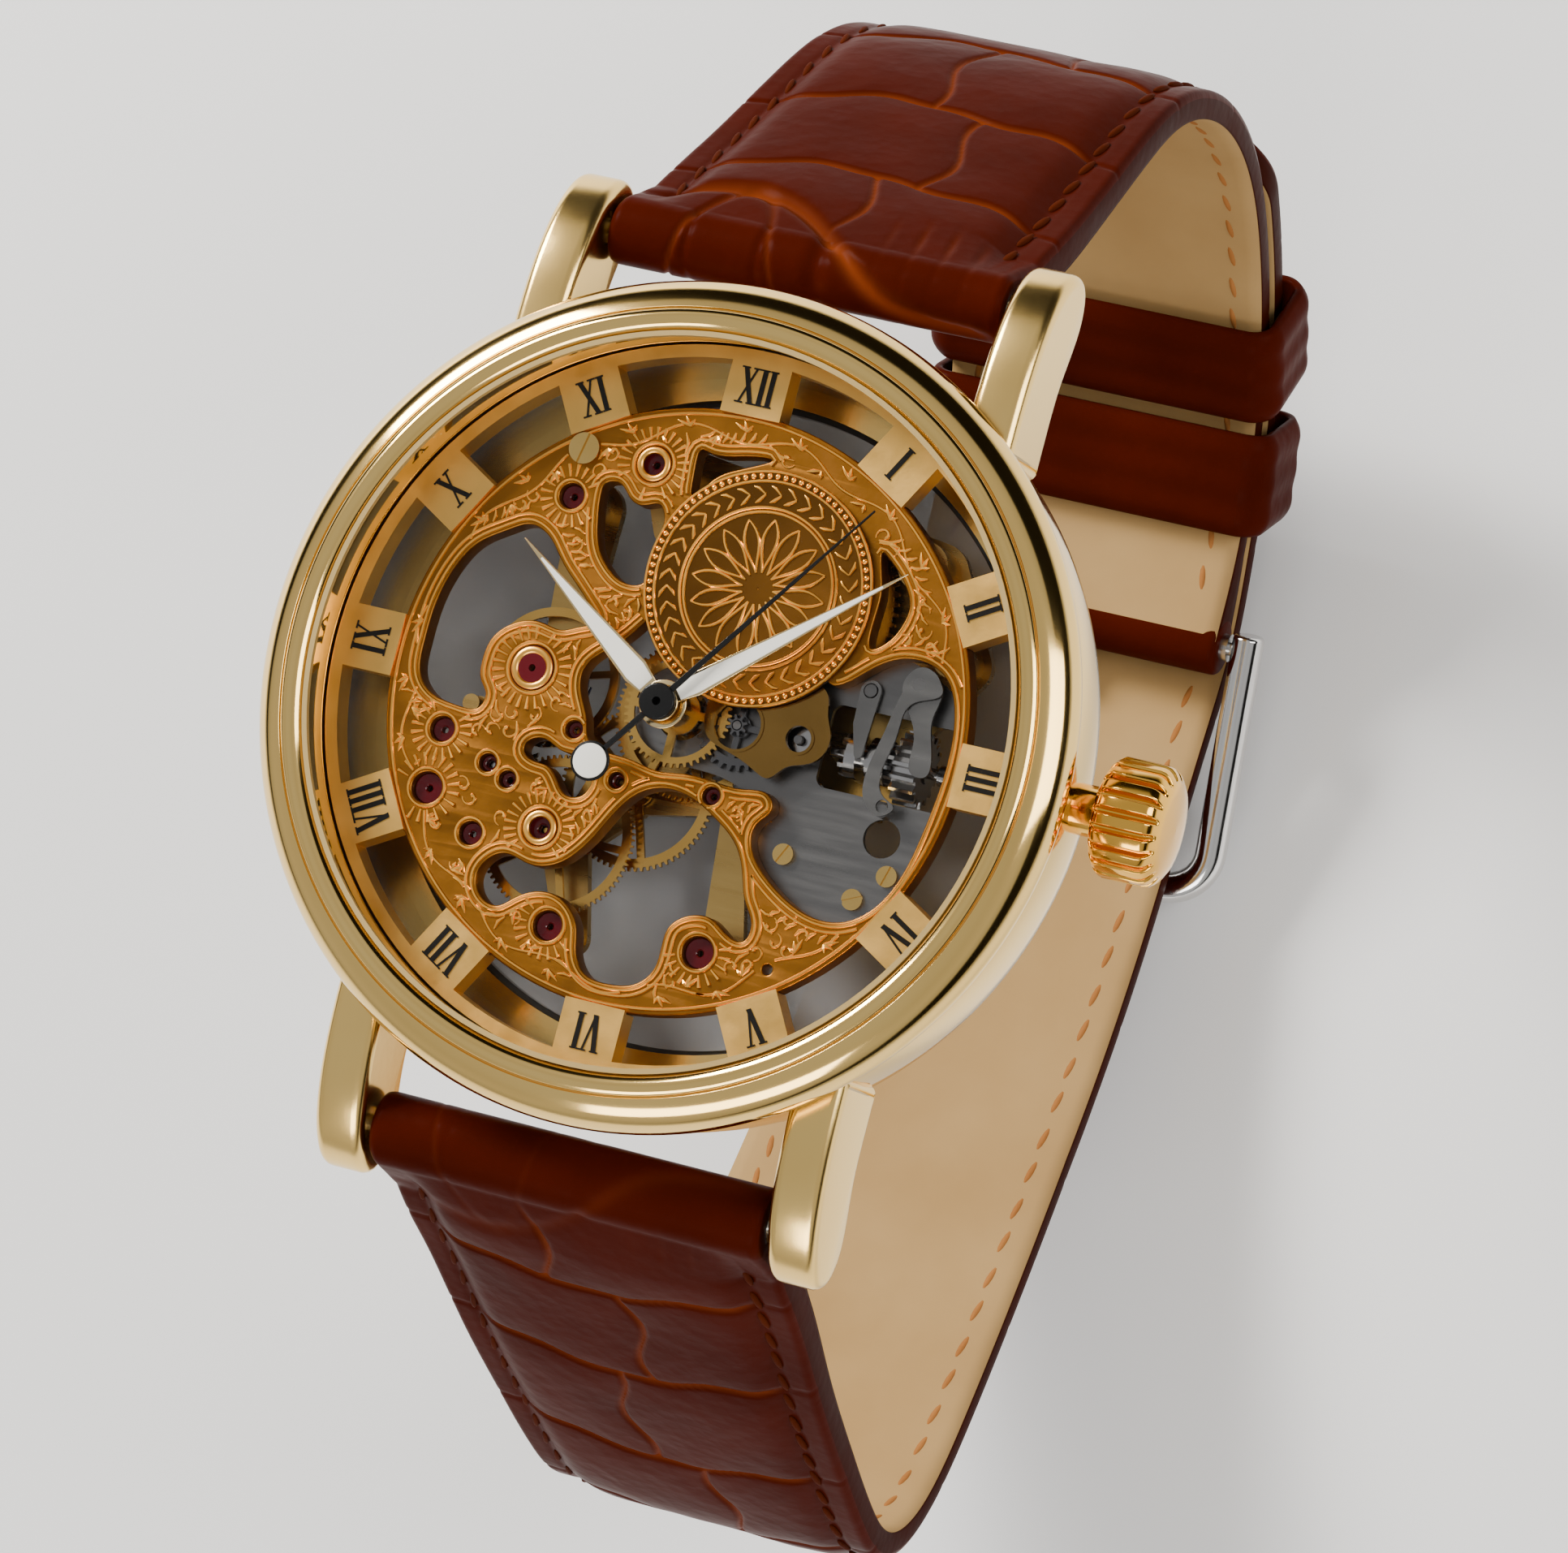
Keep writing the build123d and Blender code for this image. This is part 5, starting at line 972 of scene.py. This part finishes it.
def strap_strip(name, inner, thickness, side, padding, seed, buckle_half, folds, tip=0.0):
    """One strap half, wrapped round its lug bar: embossed face, painted edges and lining."""
    count = 620
    path = smooth_path(inner, count)
    knots = np.r_[0, np.cumsum(np.linalg.norm(np.diff(np.array(inner), axis=0), axis=1))]
    travel = np.r_[0, np.cumsum(np.linalg.norm(np.diff(path, axis=0), axis=1))]
    thick = np.interp(travel, knots * travel[-1] / knots[-1], thickness)
    pad = np.interp(travel, knots * travel[-1] / knots[-1], padding)
    ahead = np.gradient(path, axis=0)
    ahead /= np.linalg.norm(ahead, axis=1)[:, None]
    normal = np.column_stack([-ahead[:, 1], ahead[:, 0]]) * side
    half = half_width_at(path[:, 1], 10.0, buckle_half) - 0.05
    if tip:
        left = np.clip((travel[-1] - travel) / tip, 0, 1)
        half = half * np.clip(1 - (1 - left) ** 2.4, 0.08, 1)
    columns = 150
    across = np.linspace(-1, 1, columns)
    x = half[:, None] * across[None, :]
    local = np.random.default_rng(seed)
    lines = np.cumsum(np.r_[5.4, 8.4 + 1.6 * local.random(24)])
    shift = local.random(26) * 3 - 1.5
    bow = 1.5 * np.cos(np.pi * x / (2 * half[:, None])) + 0.3 * np.sin(x * 0.6 + seed)
    along = travel[:, None] + 0.12 * np.sin(x * 1.4 + seed) - bow
    row = np.searchsorted(lines, along)
    below = lines[np.clip(row - 1, 0, len(lines) - 1)]
    above = lines[np.clip(row, 0, len(lines) - 1)]
    to_line = np.minimum(np.abs(along - below), np.abs(above - along))
    divider = np.where(row % 2 == 0, -0.6, 2.4) + shift[np.clip(row, 0, 25)]
    divider = divider + 0.45 * np.sin(along * 0.8 + row)
    to_divider = np.abs(x - divider)
    groove_and_highlight = np.exp(-((to_line / 0.17) ** 2)) + 0.8 * np.exp(-((to_divider / 0.15) ** 2))
    groove_and_highlight = np.clip(groove_and_highlight, 0, 1)
    dome = (1 - np.exp(-to_line / 1.3)) * (1 - np.exp(-to_divider / 1.5))
    from_edge = half[:, None] - np.abs(x)
    margin = 1 / (1 + np.exp(-(from_edge - 2.1) / 0.3))
    seam_inset = 1.55
    seam = np.exp(-(((from_edge - seam_inset) / 0.28) ** 2))
    puff = (1 - np.abs(across[None, :]) ** 3.5) * margin
    top = thick[:, None] * (1 - 0.34 * pad[:, None]) + thick[:, None] * 0.34 * pad[:, None] * puff
    top = top - 0.20 * groove_and_highlight * (0.35 + 0.65 * margin) + 0.16 * (dome - 0.6) * margin - 0.10 * seam
    roll = np.clip((0.4 - from_edge) / 0.4, 0, 1)
    top = top - 0.4 * (1 - np.sqrt(np.clip(1 - roll**2, 0, 1)))
    wrinkle = 0.008 * np.sin(x * 2.3 + 2 * np.sin(along * 0.9 + seed)) * np.sin(along * 1.9 + x * 0.3)
    top = top + wrinkle * margin
    top = np.minimum(top, thick[:, None] + 0.02)
    lug_end = np.clip(1 - travel[:, None] / 3.2, 0, 1)

    def creases(place, reach):
        """Depth of the folds that the bent leather makes near the bar, by place along the strap."""
        sweep = 1 / (1 + np.exp(-(place - 1.5) / 2.0))
        fold = 3.3 - 0.05 * (place + 3.5) ** 2 * (1 - sweep) - 7.2 * sweep
        short_fold = 3.0 - 0.9 * (place + 4.2) ** 2
        depth = np.exp(-(((reach - fold) / 0.5) ** 2))
        depth = depth + 0.55 * np.exp(-(((reach - short_fold) / 0.6) ** 2)) * (1 - sweep) ** 3
        fine = np.clip(np.sin(place * 4.2 + 0.5 * reach), 0, 1) ** 3 * np.clip((place - 2) / 3, 0, 1)
        depth = depth + 0.3 * fine * np.exp(-(((reach - 1.4) / 1.3) ** 2))
        return folds * depth * np.clip((half[0] - np.abs(place)) / 1.5, 0, 1)

    crease_and_highlight = creases(x, travel[:, None])
    rounded = thick[:, None] * (1.0 - 0.10 * roll**2)
    top = top * (1 - lug_end) + rounded * lug_end - crease_and_highlight
    # From here on this mask of embossed lines and folds only sets the painted highlight.
    groove_and_highlight = np.clip(groove_and_highlight * (1 - lug_end) + crease_and_highlight * 1.6, 0, 1)

    vertices = []
    painted_highlight_values = []
    lining_columns = 24
    ring = columns + lining_columns + 4
    edge_stand = 0.03
    wrap_rows = 44
    bar_y, bar_z = 22.0 * side, 3.1
    near = [side * (path[0, 0] - bar_y), path[0, 1] - bar_z]
    inner_angle = math.atan2(near[1], near[0]) % (2 * math.pi)
    inner_reach = math.hypot(*near)

    def by_bar(place, angle, radius):
        """A spot near the lug bar by its angle round the bar and its distance from it."""
        return (place, bar_y + side * radius * math.cos(angle), bar_z + radius * math.sin(angle))

    def off_path(k, place, height):
        """A spot in one row of the strap by its place across and its height off the lining."""
        return (place, path[k, 0] + normal[k, 0] * height, path[k, 1] + normal[k, 1] * height)

    for step in range(wrap_rows, 0, -1):
        share = step / wrap_rows
        for c in range(columns):
            u = side * (path[0, 0] + normal[0, 0] * top[0, c] - bar_y)
            v = path[0, 1] + normal[0, 1] * top[0, c] - bar_z
            first = math.atan2(v, u)
            angle = first + (inner_angle - first) * share
            fold = float(creases(x[0, c], -1.7 * (inner_angle - first) * share))
            radius = math.hypot(u, v) * (1 - share) + (inner_reach - 0.02) * share
            radius += 0.10 * math.sin(math.pi * share) - 0.8 * fold
            vertices.append(by_bar(x[0, c], angle, radius))
            # The folds round the bar carry the painted highlight too.
            painted_highlight_values.append(min(0.8, fold * 1.3))
        edge = half[0] + edge_stand
        vertices += [by_bar(edge, angle, radius * part) for part in (0.85, 0.62)]
        vertices += [by_bar(half[0] * u, angle, 0.8) for u in np.linspace(1, -1, lining_columns)]
        vertices += [by_bar(-edge, angle, radius * part) for part in (0.62, 0.85)]
        painted_highlight_values += [0] * (lining_columns + 4)
    # Painted highlight: the depth of the embossed lines and folds, kept off the stitched margins,
    # becomes the highlight mask.
    highlight_depth = np.maximum(0.42 * groove_and_highlight, 0.8 * crease_and_highlight) * margin
    for k in range(count):
        vertices += [off_path(k, x[k, c], top[k, c]) for c in range(columns)]
        painted_highlight_values += [float(depth) for depth in highlight_depth[k]]
        edge = half[k] + edge_stand
        vertices += [off_path(k, edge, top[k, -1] * part) for part in (0.62, 0.22)]
        for u in np.linspace(1, -1, lining_columns):
            vertices.append(off_path(k, half[k] * u, 0.12 * max(0, abs(u) - 0.97) / 0.03))
        vertices += [off_path(k, -edge, top[k, -1] * part) for part in (0.22, 0.62)]
        painted_highlight_values += [0] * (lining_columns + 4)
    rows = wrap_rows + count
    faces = capped(ring_faces(rows, ring, turned_over=side > 0), rows, ring, turned_over=side > 0)
    face_leather, edge_paint, lining = [0] * (columns - 1), [1] * 3, [2] * (lining_columns - 1)
    leathers = (face_leather + edge_paint + lining + edge_paint) * (rows - 1) + [1, 1]
    piece = new_piece(name, vertices, faces, brown_leather, edge_leather, cream_lining)
    piece.data.polygons.foreach_set("material_index", leathers)
    # The "relief" attribute carries the painted highlight mask to the leather's colour.
    layer = piece.data.attributes.new("relief", "FLOAT", "POINT")
    layer.data.foreach_set("value", painted_highlight_values)
    piece.data.update()

    stitches = []
    lining_stitches = []
    stitch_pitch = 2.15
    for position in np.arange(3.0, travel[-1] - max(tip, 1.5), stitch_pitch):
        k = int(np.searchsorted(travel, position))
        for sign in (-1, 1):
            place = half[k] - seam_inset
            column = int(np.clip((sign * place / half[k] + 1) / 2 * (columns - 1), 0, columns - 1))
            direction = Vector((0.16 * sign, ahead[k, 0], ahead[k, 1])).normalized()
            stitches.append((Vector(off_path(k, sign * place, top[k, column] + 0.04)), direction))
            lining_stitches.append((Vector(off_path(k, sign * place, 0.07)), direction))
    return (
        piece,
        sewn(name + "_stitches", stitches, thread),
        sewn(name + "_lining_stitches", lining_stitches, lining_thread),
    )


def bar_roll(name, y, z, half, material):
    """The buckle end of the strap, folded round its bar and glued down."""
    vertices = []
    rows = 40
    steps = 48
    for row in range(rows + 1):
        share = 2 * row / rows - 1
        x = half * math.copysign(1 - (1 - abs(share)) ** 1.6, share)
        shrink = max(0.0, (abs(x) - half + 0.35) / 0.35)
        for step in range(steps):
            angle = 2 * math.pi * step / steps
            radius = 1.62 - 0.3 * (1 - math.sqrt(max(0.0, 1 - shrink**2)))
            vertices.append((x, y + radius * math.cos(angle), z + radius * math.sin(angle)))
    faces = capped(ring_faces(rows + 1, steps), rows + 1, steps)
    return new_piece(name, vertices, faces, material)


upper_path = [
    (21.1, 1.8), (23.4, -1.0), (26.0, -4.5), (29.0, -8.2), (32.4, -12.3), (35.3, -16.4), (36.9, -21.0),
    (37.3, -27.0), (36.0, -33.0), (32.9, -38.7), (28.9, -43.3), (24.2, -46.7), (19.3, -48.4),
    (14.5, -48.6),
]
lower_path = [
    (-21.1, 1.8), (-23.0, -1.6), (-25.2, -6.4), (-28.2, -12.4), (-31.4, -19.6), (-34.0, -26.0),
    (-35.0, -30.6), (-33.6, -34.8), (-28.6, -38.9), (-20.0, -43.4), (-10.0, -47.6), (-2.0, -49.7),
    (4.0, -50.6), (9.5, -51.4), (14.5, -52.0), (19.9, -50.8), (25.3, -48.9), (30.6, -45.1),
    (34.8, -39.9), (37.9, -33.8), (38.95, -30.6),
]
upper_thick = [3.2, 3.2, 3.1, 2.9, 2.6, 2.1, 1.9, 1.8, 1.8, 1.8, 1.8, 1.8, 2.0, 3.2]
lower_thick = [3.2, 3.2, 3.0, 2.7, 2.4, 2.2, 2.1, 2.1, 2.1, 2.0, 1.9] + [1.8] * 10
upper_padding = [1, 1, 1, 1, 0.9, 0.7, 0.5, 0.3, 0.2, 0.1, 0.1, 0.1, 0.1, 0.1]
lower_padding = [1, 1, 1, 1, 0.9, 0.8, 0.7, 0.6, 0.5, 0.4, 0.3] + [0.1] * 10
upper, upper_stitches, upper_lining_stitches = strap_strip(
    "strap_upper_leather", upper_path, upper_thick, 1, upper_padding, 3, 8.7, 0.34
)
lower, lower_stitches, lower_lining_stitches = strap_strip(
    "strap_lower_leather", lower_path, lower_thick, -1, lower_padding, 8, 8.6, 0.06, tip=8.0
)
buckle_roll = bar_roll("buckle_roll", 14.5, -50.2, 8.7, brown_leather)
belongs(upper, "case", "brown_leather", "strap_upper")
belongs(lower, "case", "brown_leather", "strap_lower")
for piece in (
    upper_stitches, lower_stitches, upper_lining_stitches, lower_lining_stitches, buckle_roll
):
    belongs(piece, "case", "brown_leather")

# ---------------------------------------------------------------- Keepers
# Two loops of the same leather hold the tail down. The one by the buckle is sewn in place and the
# other slides along the strap.
length = 5.6
for name, body, place, travel in (
    ("keeper_free", "free_keeper", (29.95, -45.15), 44.0),
    ("keeper_fixed", "case", (23.88, -49.05), 24.5),
):
    half_x, half_y, corner, wall = 9.6, 2.98, 1.3, 0.82
    path = []
    for cx, cy, first in ((1, 1, 0), (-1, 1, 90), (-1, -1, 180), (1, -1, 270)):
        for nx, ny in around((0, 0), 1, first, first + 90, 13):
            path.append(
                (cx * (half_x - corner) + corner * nx, cy * (half_y - corner) + corner * ny, nx, ny)
            )
    section = []
    for t in np.linspace(-1, 1, 33):
        lift = 0.5 - 0.42 * abs(t) ** 6 + 0.05 * math.cos(t * 9)
        section.append((t * length / 2, lift * wall))
    section += [(length / 2, -0.3 * wall), (length / 2 - 0.15, -0.5 * wall),
                (-length / 2 + 0.15, -0.5 * wall), (-length / 2, -0.3 * wall)]
    slope = math.radians(travel)
    ahead = (math.cos(slope), math.sin(slope))
    outward = (-math.sin(slope), math.cos(slope))
    vertices = []
    for px, py, nx, ny in path:
        for a, b in section:
            out = py + ny * b
            vertices.append((
                px + nx * b,
                place[0] + outward[0] * out + ahead[0] * a,
                place[1] + outward[1] * out + ahead[1] * a,
            ))
    faces = ring_faces(len(path), len(section), joined_up=True)
    keeper = soften(new_piece(name + "_band", vertices, faces, brown_leather), 0)
    belongs(keeper, body, "brown_leather", name)

# ---------------------------------------------------------------- Buckle
# The pin buckle is a bent and polished steel frame. Its tongue and the strap turn on a steel bar,
# and two like bars pin the strap's other ends between the lugs.
buckle_steel = metal("buckle_steel", (0.78, 0.77, 0.75), (0.66, 0.65, 0.64), 0.12, 800, 0.03)
frame_start = Vector((0, 1.5, -53.9))
frame_end = Vector((0, 14.5, -50.2))
frame_along = (frame_end - frame_start).normalized()
frame_up = Vector((0, -frame_along.z, frame_along.y))
half_span, corner = 10.05, 2.4
leg_end = (frame_end - frame_start).length + 0.9
bar_path = [(-half_span, y) for y in np.linspace(leg_end, corner, 30)]
bar_path += [*around((corner - half_span, corner), corner, 180, 270, 13)[1:]]
bar_path += [(x, 0) for x in np.linspace(corner - half_span, half_span - corner, 21)[1:-1]]
bar_path += [*around((half_span - corner, corner), corner, 270, 360, 13)]
bar_path += [(half_span, y) for y in np.linspace(corner, leg_end, 30)[1:]]
bar_points = np.array(bar_path)
bar_ahead = np.gradient(bar_points, axis=0)
bar_ahead /= np.linalg.norm(bar_ahead, axis=1)[:, None]
wire_half_width, wire_half_height = 0.85, 0.92
vertices = []
steps = 28
for k, (px, py) in enumerate(bar_points):
    side_x, side_y = -bar_ahead[k, 1], bar_ahead[k, 0]
    bulge = min(1.0 + 0.12 * math.sin(math.pi * k / (len(bar_points) - 1)), 1.03)
    for step in range(steps):
        angle = 2 * math.pi * step / steps
        out = wire_half_width * math.cos(angle)
        up = wire_half_height * math.sin(angle) * bulge
        spot = frame_start + frame_along * (py + side_y * out) + frame_up * up
        vertices.append((px + side_x * out, spot.y, spot.z))
faces = ring_faces(len(bar_points), steps, turned_over=True)
faces = capped(faces, len(bar_points), steps, turned_over=True)
buckle = soften(new_piece("buckle_bent_frame", vertices, faces, buckle_steel), 0.25, 3, 60)
belongs(buckle, "case", "steel_polished", "buckle_frame")
dress(buckle_steel, "buckle_tongue")
dress(metal("bar_steel", (0.62, 0.62, 0.62), (0.5, 0.5, 0.5), 0.25, 900, 0.05), "spring_bars")

# ---------------------------------------------------------------- Studio
# A pale floor, a large soft key light, a fill and a front light, under a sky that darkens towards
# the horizon so that the polished gold has something dark to reflect.
low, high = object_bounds()
floor_mesh = bpy.data.meshes.new("floor")
floor_height = low.z - 0.5 * mm
floor_mesh.from_pydata(
    [(x, y, floor_height) for x, y in ((-3, -3), (3, -3), (3, 3), (-3, 3))], [], [(0, 1, 2, 3)]
)
floor = placed("floor", floor_mesh)
floor_paint, tree, shader = blank("floor_paint")
paper = between(tree, cloudy(tree, None, 40), (0.82, 0.82, 0.82), (0.88, 0.88, 0.88))
feed(tree, shader, {"Roughness": 0.7, "Base Color": paper})
floor_mesh.materials.append(floor_paint)


def soft_light(name, place, aim, width, height, power, colour):
    """A rectangular soft box that points at its aim."""
    lamp = bpy.data.lights.new(name, "AREA")
    lamp.shape = "RECTANGLE"
    lamp.size = width
    lamp.size_y = height
    lamp.energy = power
    lamp.color = colour
    holder = placed(name, lamp)
    holder.location = place
    holder.rotation_mode = "QUATERNION"
    holder.rotation_quaternion = (Vector(aim) - Vector(place)).to_track_quat("-Z", "Y")


soft_light("key_light", (-0.42, 0.30, 0.30), (0, 0, 0), 0.22, 0.22, 7.0, (1.0, 0.97, 0.92))
soft_light("fill_light", (0.42, 0.12, 0.30), (0, 0, -0.01), 0.25, 0.35, 1.8, (1.0, 0.98, 0.95))
soft_light("front_light", (0.05, -0.48, 0.30), (0, 0, -0.01), 0.40, 0.20, 1.8, (1.0, 0.97, 0.93))

world = bpy.data.worlds.new("studio_air")
world.use_nodes = True
air = world.node_tree
bearing = add(air, "TexCoord", {}).outputs["Generated"]
lean = add(air, "VectorMath", {0: bearing, 1: (-0.17, -0.33, 1.0)}, operation="DOT_PRODUCT")
bands = add(air, "ValToRGB", {"Fac": lean.outputs["Value"]})
bands.color_ramp.elements[0].position = 0.0
bands.color_ramp.elements[0].color = (0.02, 0.018, 0.016, 1)
bands.color_ramp.elements[1].position = 1.0
bands.color_ramp.elements[1].color = (0.95, 0.97, 1.0, 1)
for position, tone in ((0.29, 0.015), (0.35, 0.75), (0.55, 0.95), (0.80, 0.85)):
    stop = bands.color_ramp.elements.new(position)
    stop.color = (tone, tone * 0.99, tone * 0.97, 1)
feed(air, air.nodes["Background"], {"Strength": 0.58, "Color": bands.outputs["Color"]})
bpy.context.scene.world = world

camera_data = bpy.data.cameras.new("camera")
camera_data.sensor_width = 36.0
camera_data.lens = 167.7
camera_data.clip_start = 0.01
camera_data.clip_end = 20
camera = placed("camera", camera_data)
camera_right = Vector((0.92019, 0.25231, -0.29931))
camera_down = Vector((0.21708, -0.96515, -0.14618))
camera_ahead = Vector((-0.32576, 0.06954, -0.94289))
turn = Matrix((camera_right, -camera_down, -camera_ahead)).transposed().to_4x4()
camera.matrix_world = Matrix.Translation((0.115921, -0.025310, 0.324359)) @ turn
bpy.context.scene.camera = camera
